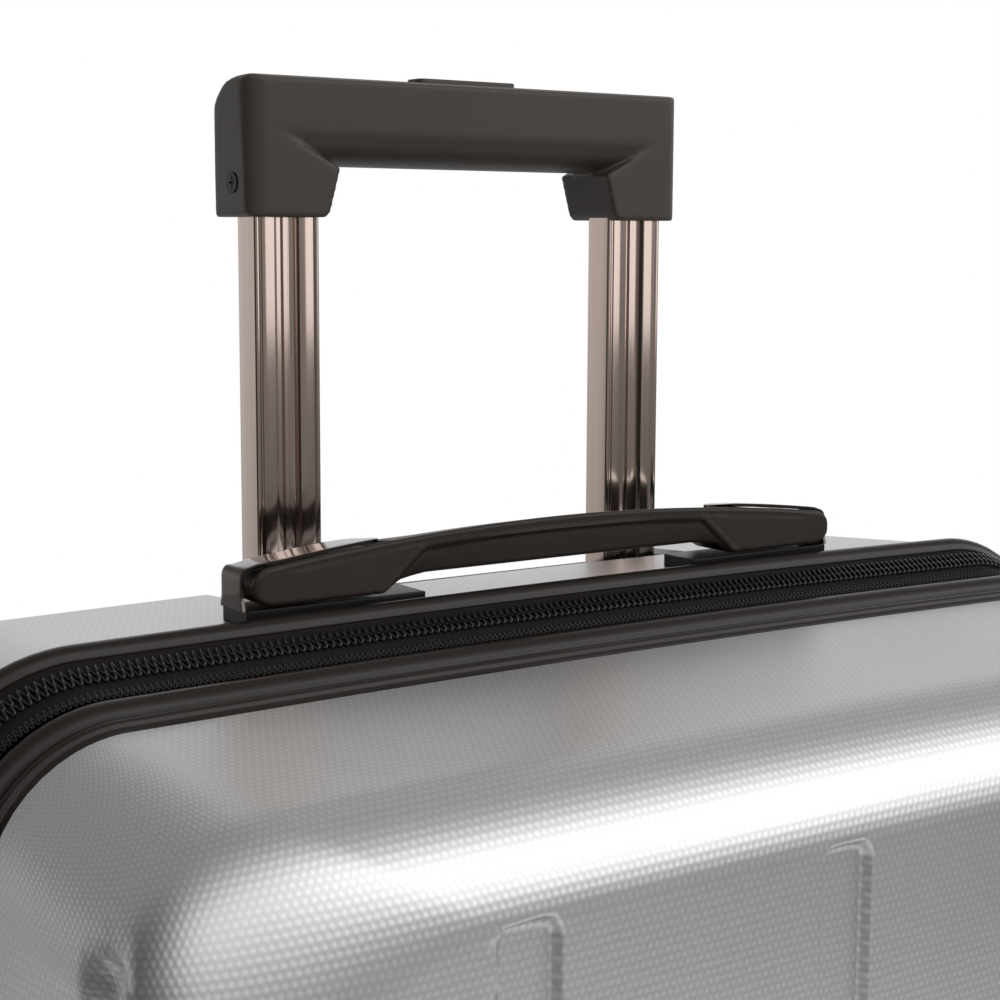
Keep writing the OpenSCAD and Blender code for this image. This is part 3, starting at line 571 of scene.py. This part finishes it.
LIP = BACK_INSET + SHELL_T + 0.4
back_bead = [(BEAD_Y + BEAD_R * math.cos(a), BEAD_R - BEAD_R * math.sin(a))
             for a in np.radians(np.arange(180, -1, -15))]
hoop("back_piping", back_bead + [
    (SHELL_RIM_Y, LIP), (SHELL_RIM_Y + 8, LIP + 0.6), (SHELL_RIM_Y + 8, LIP + 1.6),
    (SHELL_RIM_Y - 0.6, LIP + 1.5), (BEAD_Y + 1.5, BEAD_R * 2), (BEAD_Y - 2.4, BEAD_R * 1.86)],
    2, TRIM, "case", ("back_trim",))

LOW = BAND_INSET + SHELL_T
front_bead = [(0, 0.5), (1.4, -0.2), (2.6, -0.9), (3.4, -2.3), (5, -2.9), (6.6, -2.6), (7.2, -1.9),
              (7.8, -3.9), (9.6, -5.9), (12, -6.9), (14.4, -6.7), (16.4, -5), (16.6, -3.6)]
hoop("front_piping", [(FRONT_RIM_Y + y, BAND_INSET + d) for y, d in front_bead] + [
    (FRONT_RIM_Y + 14, LOW - 3), (FRONT_RIM_Y + 7, LOW - 0.6), (FRONT_RIM_Y, LOW)],
    3, TRIM, "front_case", ("front_trim",))


def tape(name, y_low, y_high, body, node):
    ys = np.linspace(y_low, y_high, 9)
    top = [(y, tape_inset(y)) for y in ys]
    return hoop(name, top + [(y, d + 0.9) for y, d in top[::-1]], 1, TAPE, body, (node,))


tape("back_tape", ZIP_Y + 0.15, BEAD_Y - BEAD_R, "case", "back_zip_tape")
tape("front_tape", EXPANDER_Y + 0.15, ZIP_Y - 0.15, "lid", "front_zip_tape")


def band_frame(s, inset):
    """Point on the centre rectangle and outward normal at distance s along the band at that inset."""
    cx, cz, r = HALF_W - CORNER_R, HALF_H - CORNER_R, CORNER_R - inset
    lengths = np.array([r * math.pi / 2, 2 * cx, r * math.pi / 2, 2 * cz] * 2)
    starts = np.concatenate([[0], np.cumsum(lengths)])
    s = np.mod(s, starts[-1])
    k = np.clip(np.searchsorted(starts, s, side="right") - 1, 0, 7)
    t = (s - starts[k]) / lengths[k]
    q, corner = k // 2, k % 2 == 0
    signs = np.array([(1, 1), (-1, 1), (-1, -1), (1, -1)], float)
    here, there = signs[q] * (cx, cz), signs[(q + 1) % 4] * (cx, cz)
    centre = np.where(corner[:, None], here, here + (there - here) * t[:, None])
    angle = np.radians(90.0) * (q + np.where(corner, t, 1.0))
    return centre, np.stack([np.cos(angle), np.sin(angle)], 1), starts[-1]


def band_point(s, y, d, inset):
    centre, normal, _ = band_frame(s, inset)
    p = centre + normal * (CORNER_R - d)[:, None]
    x, z = crowned(p[:, 0], p[:, 1])
    return np.stack([x, y, z + MID_Z], 1)


def coil(name, body, node, y_mid, phase, half_y, rise, pitch, wire, per_turn=8, sides=5):
    """One side of a coil zip: a flattened nylon helix all round the band."""
    inset = tape_inset(y_mid)
    length = band_frame(np.zeros(1), inset)[2]
    turns = int(length / pitch)
    a = np.arange(turns * per_turn) * 2 * math.pi / per_turn
    s = a / (2 * math.pi) * length / turns + phase * pitch
    squared = np.sign(np.cos(a)) * np.abs(np.cos(a)) ** 0.8
    y = y_mid + half_y * squared
    d = tape_inset(y) - wire - rise * (1 + np.sin(a))
    path = band_point(s, y, d, inset)
    along = np.roll(path, -1, 0) - np.roll(path, 1, 0)
    along /= np.linalg.norm(along, axis=1)[:, None]
    side = np.cross(along, (0, 1, 0.02))
    side /= np.linalg.norm(side, axis=1)[:, None]
    up = np.cross(side, along)
    turn = np.arange(sides) * 2 * math.pi / sides
    turn = turn[None, :, None]
    rings = path[:, None] + wire * (np.cos(turn) * side[:, None] + np.sin(turn) * up[:, None])
    faces = strip_faces(sides, len(path), closed_rows=True)
    return piece(name, rings.reshape(-1, 3), faces, COIL, body, (node,), sharp=80)


MAIN_COIL = {"half_y": 2.0, "rise": 0.62, "pitch": 2.7, "wire": 0.52}
FINE_COIL = {"half_y": 1.0, "rise": 0.32, "pitch": 2.0, "wire": 0.34, "per_turn": 6, "sides": 4}
coil("back_coil", "case", "back_zip_coil", ZIP_Y + 1.75, 0.0, **MAIN_COIL)
coil("front_coil", "lid", "front_zip_coil", ZIP_Y - 1.75, 0.5, **MAIN_COIL)
coil("expander_coil_back_row", "lid", "expander_coil_rear", EXPANDER_Y + 0.75, 0.0, **FINE_COIL)
coil("expander_coil_front_row", "front_case", "expander_coil_front", EXPANDER_Y - 0.75, 0.5, **FINE_COIL)


# ---------- carry handles ----------

HANDLE_LEN = handle_high_pt[0] - handle_low_pt[0]
HANDLE_W = handle_high_pt[1] - handle_low_pt[1]
HANDLE_Y = (handle_low_pt[1] + handle_high_pt[1]) / 2
TOP_Z = trim_high[2]
HANDLE_T, HANDLE_ARCH, HANDLE_LOW = 16.0, 7.0, 1.8
ARCH_IN = 70.0
END_TOP_R, END_LOW_R, END_SIDE_R = 6.0, 8.0, 2.2
STRAP_LEN, STRAP_W, STRAP_T, BEND_R, TONGUE_EXTRA = 52.0, 14.0, 1.4, 4.2, 2.6


def handle_top(x):
    return HANDLE_ARCH + HANDLE_T - 9 * (2 * x / HANDLE_LEN) ** 2


def top_fall(x):
    """How much lower the back edge of the top is than its front edge."""
    return 4.6 - 2.4 * smooth_step((np.abs(x) - 50) / 50)


def handle_under(x):
    """The underside: flat under the end blocks, a slanted step, then the long arch."""
    return np.interp(np.abs(x), [ARCH_IN - 10, ARCH_IN + 1, ARCH_IN + 7.5],
                     [HANDLE_ARCH, HANDLE_ARCH - 1.5, HANDLE_LOW])


def rounded_box(half, tall, radius, samples):
    """Outline of a box with round corners, with its points spread along it."""
    a = np.radians(np.linspace(0, 90, samples // 8))
    corner = np.stack([half - radius + radius * np.cos(a), tall - radius + radius * np.sin(a)], 1)
    flat = np.linspace(half - radius, radius - half, samples // 8 + 2)[1:-1]
    wall = np.linspace(tall - radius, radius - tall, samples // 8 + 2)[1:-1]
    top = np.stack([flat, np.full_like(flat, tall)], 1)
    left = np.stack([np.full_like(wall, -half), wall], 1)
    mirrored = corner[::-1] * (-1, 1)
    return np.concatenate([corner, top, mirrored, left, -corner, -top, -mirrored, -left])


def end_round(x, radius):
    """How far a surface of the handle has turned in at x, near an end rounded by the radius."""
    past = max(0.0, abs(x) - (HANDLE_LEN / 2 - radius))
    return radius - math.sqrt(max(0.0, radius ** 2 - past ** 2))


def handle_section(x, samples):
    """Closed section of the handle at x, as rows of (across, height); its top falls towards the back."""
    end = HANDLE_LEN / 2
    top = handle_top(x) - end_round(x, END_TOP_R)
    low = float(handle_under(x)) + 0.8 * end_round(x, END_LOW_R)
    half = HANDLE_W / 2 - end_round(x, END_SIDE_R)
    mid, tall = (top + low) / 2, (top - low) / 2
    outline = rounded_box(half, tall, min(1.7, tall * 0.8, half * 0.8), samples)
    across, height = outline[:, 0], outline[:, 1] + mid
    edge = handle_top(x) - 4.6
    slant = ARCH_IN + 1.6 - (height - 8.0) * 1.15
    inside = slant - abs(x)
    panel = smooth_step(inside / 0.9) * smooth_step((edge - height) / 0.9)
    line = np.exp(-((inside + 4.2) / 0.5) ** 2) * smooth_step((edge + 1.6 - height) / 0.8)
    crease = np.exp(-((height - edge - 2.2) / 0.5) ** 2) * smooth_step((end - 12 - abs(x)) / 6)
    groove = np.exp(-((height - edge - 0.6) / 0.4) ** 2) * smooth_step((64 - abs(x)) / 3)
    squeeze = 1.3 * panel + 0.35 * line + 0.35 * crease + 0.4 * groove
    squeeze = squeeze + 1.6 * smooth_step((edge - height) / 12.0) * smooth_step(inside / 9.0)
    across = across - np.sign(across) * squeeze * (np.abs(across) > half * 0.7)
    share = (across / HANDLE_W + 0.5) * smooth_step((height - mid) / tall * 2)
    height = height - top_fall(x) * share
    slot = smooth_step((STRAP_W / 2 + TONGUE_EXTRA + 0.9 - np.abs(across)) / 0.5)
    slot = slot * smooth_step((abs(x) - end + STRAP_LEN + 1.4) / 0.6)
    return np.stack([across, height - 1.5 * slot * (outline[:, 1] > tall * 0.5)], 1)


def placed(kind, local):
    """Points along X above height 0, moved to the top or the side of the case."""
    local = np.asarray(local, float)
    if kind == "top":
        return local + (0, HANDLE_Y, TOP_Z)
    return np.stack([local[:, 2] + HALF_W, local[:, 1] + HANDLE_Y, -local[:, 0] + MID_Z], 1)


def handle_grip(kind):
    end = HANDLE_LEN / 2
    ends = end - np.array([0.02, 0.15, 0.4, 0.8, 1.4, 2.2, 3.2, 4.5, 6, 8, 10, 14])
    body = np.concatenate([np.arange(-113, -58, 0.8), np.arange(-58, 58, 2.9), np.arange(58, 113.1, 0.8)])
    xs = np.concatenate([-ends, body, ends[::-1]])
    samples = 96
    local = np.concatenate([np.column_stack([np.full(samples, x), handle_section(x, samples)]) for x in xs])
    faces = strip_faces(samples, len(xs))
    last = (len(xs) - 1) * samples
    faces += [tuple(range(samples))[::-1], tuple(last + i for i in range(samples))]
    return piece(f"{kind}_handle_body", placed(kind, local), faces, SOFT, f"{kind}_handle",
                 (f"{kind}_handle_grip",), sharp=44, weld=True)


def strap_path():
    """A strap from the side, as rows of (x, height): along the top from its tip, round the bend, down."""
    end = HANDLE_LEN / 2
    tip = end - STRAP_LEN
    xs = np.concatenate([tip + np.array([0, 0.3, 0.9, 1.8, 3.0, 4.5, 6.5]), np.linspace(tip + 10, end - 4, 9)])
    path = [(x, handle_top(x) + 0.5 + 0.4 * smooth_step((x - tip) / 6)) for x in xs]
    bend_x, bend_h = end - 2.6, handle_top(end) + 0.6 - BEND_R
    path += [(bend_x + BEND_R * math.cos(a), bend_h + BEND_R * math.sin(a))
             for a in np.radians(np.linspace(72, 0, 9))]
    path += [(bend_x + BEND_R, h) for h in np.linspace(bend_h - 2, HANDLE_LOW - 1.4, 7)]
    return np.array(path)


def strap_widths(path):
    """Half the strap's width along its path, and how far the top it lies on falls towards the back."""
    end = HANDLE_LEN / 2
    x, height = path[:, 0], path[:, 1]
    tip = np.clip((x - (end - STRAP_LEN)) / (STRAP_W / 2), 0, 1)
    foot = smooth_step((5 - height) / 5) * (x > end - 2)
    on_top = smooth_step((end - 2 - x) / 8)
    half = (STRAP_W / 2 + TONGUE_EXTRA * on_top) * np.sqrt(np.maximum(0.02, 1 - (1 - tip) ** 2)) + foot
    return half, top_fall(x) * smooth_step((end + 1 - x) / 4)


def handle_strap(kind):
    """A gunmetal strap over each end: a thin rounded tongue let into the top that bends down to a post."""
    path = strap_path()
    half, fall = strap_widths(path)
    along = np.gradient(path, axis=0)
    along /= np.linalg.norm(along, axis=1)[:, None]
    normal = np.stack([-along[:, 1], along[:, 0]], 1)
    outline = rounded_box(1.0, 1.0, 0.25, 32)
    count, last = len(outline), len(outline) * (len(path) - 1)
    ends = [tuple(range(count))[::-1], tuple(range(last, last + count))]
    points, faces = [], []
    for side in (-1, 1):
        faces += shifted(strip_faces(count, len(path)) + ends, len(points))
        for p, n, w, f in zip(path, normal, half, fall):
            for c, t in outline * (1, STRAP_T / 2):
                height = p[1] + n[1] * t - f * (w * c / HANDLE_W + 0.5)
                points.append((side * (p[0] + n[0] * t), w * c, height))
    return piece(f"{kind}_handle_metal", placed(kind, points), faces, GUNMETAL, f"{kind}_handle",
                 (f"{kind}_handle_straps",), sharp=40, weld=True)


for kind in ("top", "side"):
    handle_grip(kind)
    handle_strap(kind)


# ---------- rounded copies of moulded CAD parts ----------

def moulded(node, material, body, voxel, passes, keep=0.4):
    """A copy of a CAD part with its edges rounded as a mould leaves them."""
    obj = new_object(node + "_moulded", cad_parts[node].data.copy())
    remesh = obj.modifiers.new("remesh", "REMESH")
    remesh.mode, remesh.voxel_size = "VOXEL", voxel * MM
    relax = obj.modifiers.new("relax", "SMOOTH")
    relax.factor, relax.iterations = 0.5, passes
    thin = obj.modifiers.new("thin", "DECIMATE")
    thin.ratio = keep
    bpy.context.view_layer.update()
    apply_modifiers(obj)
    return finish_piece(obj, material, body, (node,), sharp=60.0)


moulded("grip_shell", GRIP, "trolley", 0.8, 5, 0.35)
moulded("release_button", GRIP, "release", 0.6, 3)
for sx in ("left", "right"):
    for row in ("rear", "front"):
        moulded(f"fork_{row}_{sx}", BLACK, f"fork_{row}_{sx}", 0.9, 3)
for body, node in (("case", "rear_caster_housings"), ("front_case", "front_caster_housings")):
    moulded(node, BLACK, body, 1.1, 4)
for kind in ("top", "side"):
    moulded(f"{kind}_handle_bases", SCREW, "case", 0.6, 2)


# ---------- trolley tubes ----------

def tube_section(half_w, half_d):
    """Outline of an inner tube: a line near each front corner, and a deep groove with a low rib between."""
    line = [(1.0, 0.0), (1.5, 0.1), (2.3, 0.8), (2.7, 0.75), (3.0, 0.25), (3.3, 0.2)]
    groove = [(5.4, 0.2), (4.9, 0.35), (4.6, 0.7), (3.6, 2.6), (3.1, 2.8), (1.5, 2.8), (0.8, 1.9)]
    front = [(x, -half_d + d) for x, d in [(half_w - x, d) for x, d in line] + groove]
    corner = [(half_w - 1.0 + math.sin(a), -half_d + 1.0 - math.cos(a))
              for a in np.radians(range(18, 91, 18))]
    back = [(half_w, half_d - 1.2), (half_w - 0.35, half_d - 0.35), (half_w - 1.2, half_d)]
    right = front[::-1] + corner + back
    return np.array(right + [(-x, y) for x, y in right[::-1]])


TUBE_X = 79.0


def trolley_tubes():
    low, high = mm_box("inner_tubes")
    half_w, half_d = high[0] - TUBE_X, (high[1] - low[1]) / 2
    points, faces = [], []
    for side in (-1, 1):
        section = tube_section(half_w, half_d)
        centre = np.array([side * TUBE_X, (low[1] + high[1]) / 2])
        start, n = len(points), len(section)
        for z in (low[2], low[2] + 0.01, high[2] - 0.01, high[2]):
            points += [(centre[0] + x, centre[1] + y, z) for x, y in section]
        faces += shifted(strip_faces(n, 4), start)
        faces += [tuple(range(start, start + n))[::-1], tuple(range(start + 3 * n, start + 4 * n))]
    return piece("trolley_tubes", points, faces, TUBE, "trolley", ("inner_tubes",), sharp=24)


trolley_tubes()


# ---------- wheels ----------

def wheel(node):
    low, high = mm_box(node)
    centre, width, r = (low + high) / 2, high[0] - low[0], (high[2] - low[2]) / 2
    side = -1 if node.endswith("_1") else 1
    h = width / 2
    boss = [(3.2, h - 2.4), (6.0, h - 2.4), (6.8, h - 0.4), (8.2, h - 0.4), (9.0, h - 3.2)]
    disc = [(r - 8.4, h - 3.2), (r - 7.6, h - 0.9), (r - 6.0, h - 0.5), (r - 5.4, h - 0.9)]
    wall = [(r - 4.6, h - 0.2), (r - 2.2, h - 0.3), (r - 0.7, h - 1.3)]
    tread = [(r, h - 2.8), (r, 2.1), (r - 0.8, 1.5), (r - 0.8, 0.6), (r, 0.0), (r, -2.6), (r - 0.8, -3.2),
             (r - 0.8, -4.0)]
    inner_face = [(r - 0.2, -h + 1.3), (r - 2.0, -h + 0.1), (3.2, -h + 0.1)]
    section = np.array(boss + disc + wall + tread + inner_face)
    steps = 80
    turns = np.arange(steps) * 2 * math.pi / steps
    points = []
    for radius, x in section:
        spoke = 0.5 + 0.5 * np.tanh(6 * (np.cos(5 * turns) - 0.2))
        lift = 1.7 * spoke if 8.9 < radius < r - 8.3 and x > 0 else 0 * spoke
        points += [centre + (side * (x + up), radius * math.cos(a), radius * math.sin(a))
                   for a, up in zip(turns, lift)]
    faces = strip_faces(steps, len(section), closed_rows=True)
    obj = piece(node + "_tyre", points, faces, RUBBER, node, (node,), sharp=40, weld=True)
    obj.data.materials.append(HUB)
    for polygon in obj.data.polygons:
        c = polygon.center / MM
        if math.hypot(c[1] - centre[1], c[2] - centre[2]) < r - 5.6 and side * (c[0] - centre[0]) > 0:
            polygon.material_index = 1
    return obj


for row in ("rear", "front"):
    for sx in ("left", "right"):
        for k in (1, 2):
            wheel(f"wheel_{row}_{sx}_{k}")


# ---------- linings and the expander sleeve ----------

def wrinkles(points, seed, height):
    """Soft folds: a few slanted waves that fade into each other."""
    draw = np.random.default_rng(seed)
    total = np.zeros(len(points))
    for _ in range(7):
        direction, phase = draw.normal(size=3), draw.uniform(0, 6.28)
        total += np.sin(points @ direction / np.linalg.norm(direction) / draw.uniform(9, 26) + phase)
    return height * total / 7


def tray_form(rim_y, way, prof, radius):
    """Points and faces of a plain tray, and half the width and height of its flat floor."""
    reach = prof[-1, 1] + radius[-1]
    flat_x, flat_z = HALF_W - reach, HALF_H - reach
    xs, zs = np.linspace(-flat_x, flat_x, 40), np.linspace(-flat_z, flat_z, 60)
    parts = ring_parts(xs[1:-1], zs[1:-1])
    rows = [(rim_y + way * p[0], p[1], q) for p, q in zip(prof, radius)]
    rows += [(rows[-1][0], reach - q, q) for q in np.linspace(radius[-1] * 0.85, 0, 8)]
    rings = [ring_at(parts, y, d, q) for y, d, q in rows]
    gx, gz = np.meshgrid(xs, zs)
    x, z = crowned(gx.ravel(), gz.ravel())
    grid = np.stack([x, np.full_like(x, rows[-1][0]), z + MID_Z], 1)
    faces = strip_faces(len(parts), len(rows))
    faces += shifted(strip_faces(len(xs), len(zs), closed_columns=False), len(parts) * len(rows))
    return np.concatenate(rings + [grid]), faces, flat_x, flat_z


def tray_sheet(name, rim_y, way, inset, draft, depth, r, in_by, upright, body, node, seed):
    """A sewn cloth tray: sides, rounded shoulder and floor, with soft folds."""
    prof = profile(inset, draft, depth, r, in_by, np.linspace(draft, 90, 12), 10)
    if upright:
        prof[:10, 1] = prof[10, 1]
    radius = CORNER_R - inset + (prof[:, 1] - inset - in_by) * CORNER_GROWTH - in_by
    points, faces, flat_x, flat_z = tray_form(rim_y, way, prof, radius)
    depth_in = way * (points[:, 1] - rim_y)
    fold = wrinkles(points, seed, 1.1) * smooth_step(depth_in / 25)
    across, up = points[:, 0], points[:, 2] - MID_Z
    inward = np.stack([-np.sign(across) * (np.abs(across) > flat_x), np.full(len(points), -float(way)),
                       -np.sign(up) * (np.abs(up) > flat_z)], 1)
    points = points + inward * (0.6 + fold)[:, None] * 0.8
    uv = np.stack([points[:, 0] + points[:, 1], points[:, 2] + points[:, 1]], 1)
    obj = piece(name, points, faces, LINING, body, (node,), corner_uvs(uv, faces), sharp=60,
                weld=True)
    return obj


lining_back = mm_box("back_lining")[1][1]
LINING_START = 9
tray_sheet("back_cloth", SHELL_RIM_Y + LINING_START, 1, BACK_INSET + 0.6, BACK_DRAFT,
           lining_back - SHELL_RIM_Y - LINING_START, 14, SHELL_T + 1.8, False, "case", "back_lining", 3)
tray_sheet("front_cloth", FRONT_RIM_Y, -1, BAND_INSET, FRONT_DRAFT, FRONT_DEPTH, SHOULDER_R,
           SHELL_T + 4.4, True, "front_case", "front_lining", 5)


def band_cloth(name, rows):
    """A thin cloth band round the case through rows of (y, inset), with its flat size and its area."""
    rings = [ring_at(BAND_PARTS, y, d, CORNER_R - d) for y, d in rows]
    us, vs = run_length(closed_path(rings[0])), run_length(np.array(rows))
    faces = strip_faces(len(BAND_PARTS), len(rings))
    obj = piece(name, np.concatenate(rings), faces, SLEEVE, None, ("gusset",), grid_uvs(us, vs),
                sharp=70)
    area = sum(p.area for p in obj.data.polygons)
    return obj, (vs[-1] * MM, us[-1] * MM), area


def expander_cloth():
    """The expander's sleeve: from the zip tape it is folded to and fro and sewn to the front shell's rim."""
    sleeve_back = mm_box("gusset")[1][1]
    y0, y1 = sleeve_back - 0.6, FRONT_RIM_Y - 3
    t = np.linspace(0, 1, 33)
    inset = tape_inset(y0) + 2.4 + t * (BAND_INSET + SHELL_T + 1.2 - tape_inset(y0) - 2.4)
    fold = 2.0 * np.sin(math.pi * t) * (0.5 - 0.5 * np.cos(2 * math.pi * 4 * t))
    rows = list(zip(y0 + (y1 - y0) * t, inset + fold))
    obj, flat, area = band_cloth("expander_cloth", rows)
    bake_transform(obj)


def hinge_cloth():
    """The sewn hinge: a cloth strip down the left side, between the case and the lid, with a slight bulge."""
    low, high = mm_box("hinge_tape")
    ys, zs = np.linspace(high[1], low[1], 17), np.linspace(low[2], high[2], 60)
    gy, gz = np.meshgrid(ys, zs)
    bulge = 0.5 * np.sin(math.pi * (gy - low[1]) / (high[1] - low[1])) * np.sin(gz / 23) * np.sin(gz / 61)
    x = low[0] + 0.9 + 0.6 * smooth_step((high[1] - gy) / 8) + bulge
    points = np.stack([x.ravel(), gy.ravel(), gz.ravel()], 1)
    uv = np.stack([gy.ravel(), gz.ravel()], 1)
    faces = strip_faces(len(ys), len(zs), closed_columns=False)
    obj = piece("hinge_cloth", points, faces, SLEEVE, None, ("hinge_tape",),
                corner_uvs(uv, faces), sharp=70)
    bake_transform(obj)


expander_cloth()
hinge_cloth()


# ---------- lock numerals ----------

DIGIT_SIZE = 4.2


def dial_numbers(index):
    node = f"lock_dial_{index}"
    low, high = mm_box(node)
    centre, r = (low + high) / 2, (high[0] - low[0]) / 2
    parts = []
    for digit in range(10):
        curve = bpy.data.curves.new("digit", "FONT")
        curve.body, curve.size, curve.extrude = str(digit), DIGIT_SIZE * MM, 0.05 * MM
        curve.align_x, curve.align_y = "CENTER", "CENTER"
        holder = new_object("digit", curve)
        bpy.context.view_layer.update()
        mesh = bpy.data.meshes.new_from_object(holder.evaluated_get(bpy.context.evaluated_depsgraph_get()))
        bpy.data.objects.remove(holder)
        spin = Matrix.Rotation(math.radians(36 * digit + 18), 4, "Z")
        outward = Matrix.Rotation(math.radians(90), 4, "Z") @ Matrix.Rotation(math.radians(90), 4, "X")
        mesh.transform(Matrix.Translation(Vector(centre) * MM) @ spin @ Matrix.Translation((r * MM, 0, 0))
                       @ outward)
        parts.append(mesh)
    bm = bmesh.new()
    for mesh in parts:
        bm.from_mesh(mesh)
        bpy.data.meshes.remove(mesh)
    mesh = bpy.data.meshes.new(f"dial_numbers_{index}")
    bm.to_mesh(mesh)
    bm.free()
    finish_piece(new_object(mesh.name, mesh), INK, f"dial_{index}")


for index in (1, 2, 3):
    dial_numbers(index)


# ---------- finishes of the CAD parts that stay ----------

def dress(material, *nodes):
    for node in nodes:
        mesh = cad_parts[node].data
        mesh.materials.clear()
        mesh.materials.append(material)


dress(TUBE, "outer_tubes")
dress(BLACK, "trolley_bezel", "tube_foot", "tube_plugs", "lock_body")
dress(SCREW, "grip_screws")
dress(STEEL, "push_rods", "button_spring", "lock_pins")
dress(STEEL, *[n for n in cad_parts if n.startswith("axle_")])
dress(GUNMETAL, "zip_slider_upper", "zip_slider_lower", "zip_pull_upper", "zip_pull_lower", "lock_release")
dress(DIAL, "lock_dial_1", "lock_dial_2", "lock_dial_3")
dress(BRASS, "key_cylinder")


# ---------- floor, light and camera ----------

def stage_floor():
    s = Shader("pale_floor", (0.82, 0.82, 0.82), 0.8)
    s.ramp_colour(s.noise(s.coords(), 3.0), (0.80, 0.80, 0.80), (0.84, 0.84, 0.84))
    mesh = bpy.data.meshes.new("floor")
    r = 1.7
    points = [(r * math.cos(2 * math.pi * i / 64), r * math.sin(2 * math.pi * i / 64), 0) for i in range(64)]
    mesh.from_pydata(points, [], [tuple(range(64))])
    mesh.materials.append(s.material)
    obj = new_object("floor", mesh)


# Brightness of the room against the direction in degrees: -90 floor, 0 front, 90 up, 180 behind.
DARK_SIDE = 0.12
RIGHT_STOPS = ((-180, 0.8), (-165, 0.5), (-90, 0.22), (-20, 0.16), (-10, 0.23), (0, 0.34), (5, 0.60),
               (12, 1.3), (22, 1.8), (35, 2.3), (48, 2.4), (55, 1.9), (62, 1.3), (70, 0.8), (80, 0.5),
               (95, 0.38), (118, 0.42), (130, 0.65), (145, 0.8), (157, 0.95), (180, 0.8))
LEFT_STOPS = ((-180, 0.8), (-165, 0.5), (-90, 0.3), (-20, 0.25), (-10, 0.28), (0, 0.34), (5, 0.45),
              (12, 0.8), (22, 1.1), (35, 1.4), (48, 1.4), (55, 1.2), (62, 0.9), (70, 0.6), (80, 0.42),
              (95, 0.32), (118, 0.3), (130, 0.3), (145, 0.3), (160, 0.4), (172, 0.75), (180, 0.8))


def brightness(nodes, turn, stops):
    """Grey level from the turn, 0 to 1 for -180 to 180 degrees, by stops of (degrees, level)."""
    r = nodes.add("ShaderNodeValToRGB")
    nodes.plug(r.inputs[0], turn)
    elements = r.color_ramp.elements
    while len(elements) < len(stops):
        elements.new(0.5)
    for e, (degrees, level) in zip(elements, stops):
        e.position = (degrees + 180) / 360
        e.color = (level, level, level, 1)
    return r.outputs[0]


def room_light(nodes):
    """The studio round the object: its left and right halves differ, and its far left is dark."""
    parts = nodes.add("ShaderNodeSeparateXYZ")
    nodes.plug(parts.inputs[0], nodes.add("ShaderNodeTexCoord").outputs["Generated"])
    x, y, z = parts.outputs
    angle = nodes.math("ARCTAN2", z, nodes.math("MULTIPLY", y, -1.0))
    turn = nodes.math("MULTIPLY_ADD", angle, 0.5 / math.pi, 0.5)
    mix, room = nodes.add("ShaderNodeMix", data_type="RGBA"), nodes.add("ShaderNodeBackground")
    nodes.plug(mix.inputs["Factor"], nodes.remap(x, 0.0, 1.0, -0.15, 0.4, "SMOOTHSTEP"))
    nodes.plug(mix.inputs["A"], brightness(nodes, turn, LEFT_STOPS))
    nodes.plug(mix.inputs["B"], brightness(nodes, turn, RIGHT_STOPS))
    nodes.plug(room.inputs[0], mix.outputs["Result"])
    nodes.plug(room.inputs[1], nodes.remap(x, DARK_SIDE, 1.0, -0.95, -0.62, "SMOOTHSTEP"))
    return room.outputs[0]


def studio_world():
    """White for the camera; for light and reflections a studio whose brightness changes with direction."""
    world = bpy.data.worlds.new("studio")
    bpy.context.scene.world = world
    world.use_nodes = True
    nodes = Nodes(world.node_tree)
    nodes.tree.nodes.clear()
    white, pick = nodes.add("ShaderNodeBackground"), nodes.add("ShaderNodeMixShader")
    nodes.plug(white.inputs[0], (1, 1, 1, 1))
    nodes.plug(white.inputs[1], 1.0)
    nodes.plug(pick.inputs[0], nodes.add("ShaderNodeLightPath").outputs["Is Camera Ray"])
    nodes.plug(pick.inputs[1], room_light(nodes))
    nodes.plug(pick.inputs[2], white.outputs[0])
    nodes.plug(nodes.add("ShaderNodeOutputWorld").inputs[0], pick.outputs[0])


def soft_light(name, place, target, size, watts, seen=False):
    data = bpy.data.lights.new(name, "AREA")
    data.shape, data.size, data.size_y, data.energy = "RECTANGLE", size[0], size[1], watts
    obj = new_object(name, data)
    look = Vector(target) - Vector(place)
    obj.matrix_world = Matrix.Translation(place) @ look.to_track_quat("-Z", "Y").to_matrix().to_4x4()
    obj.visible_glossy = seen


def photo_camera():
    yaw, pitch, roll = math.radians(34.68), math.radians(7.72), math.radians(0.24)
    forward = Vector((math.sin(yaw) * math.cos(pitch), math.cos(yaw) * math.cos(pitch), -math.sin(pitch)))
    right = Vector((math.cos(yaw), -math.sin(yaw), 0))
    up = right.cross(forward)
    across = right * math.cos(roll) + up * math.sin(roll)
    upright = up * math.cos(roll) - right * math.sin(roll)
    data = bpy.data.cameras.new("camera")
    data.lens, data.sensor_width, data.clip_start = 70.0, 36.0, 0.01
    obj = new_object("camera", data)
    turn = Matrix((across, upright, -forward)).transposed().to_4x4()
    obj.matrix_world = Matrix.Translation((-0.4148, -0.5415, 0.8798)) @ turn
    bpy.context.scene.camera = obj


photo_camera()
stage_floor()
studio_world()
bpy.context.scene.view_settings.view_transform = "Standard"
soft_light("key", (-0.9, -1.6, 2.0), (0, 0, 0.5), (1.2, 0.5), 9)
soft_light("top", (0.2, 0.6, 2.3), (0, 0, 0.6), (1.4, 0.8), 8)
soft_light("card", (0.86, -1.2, 0.97), (0, 0.08, 0.85), (0.7, 0.42), 1.1, seen=True)
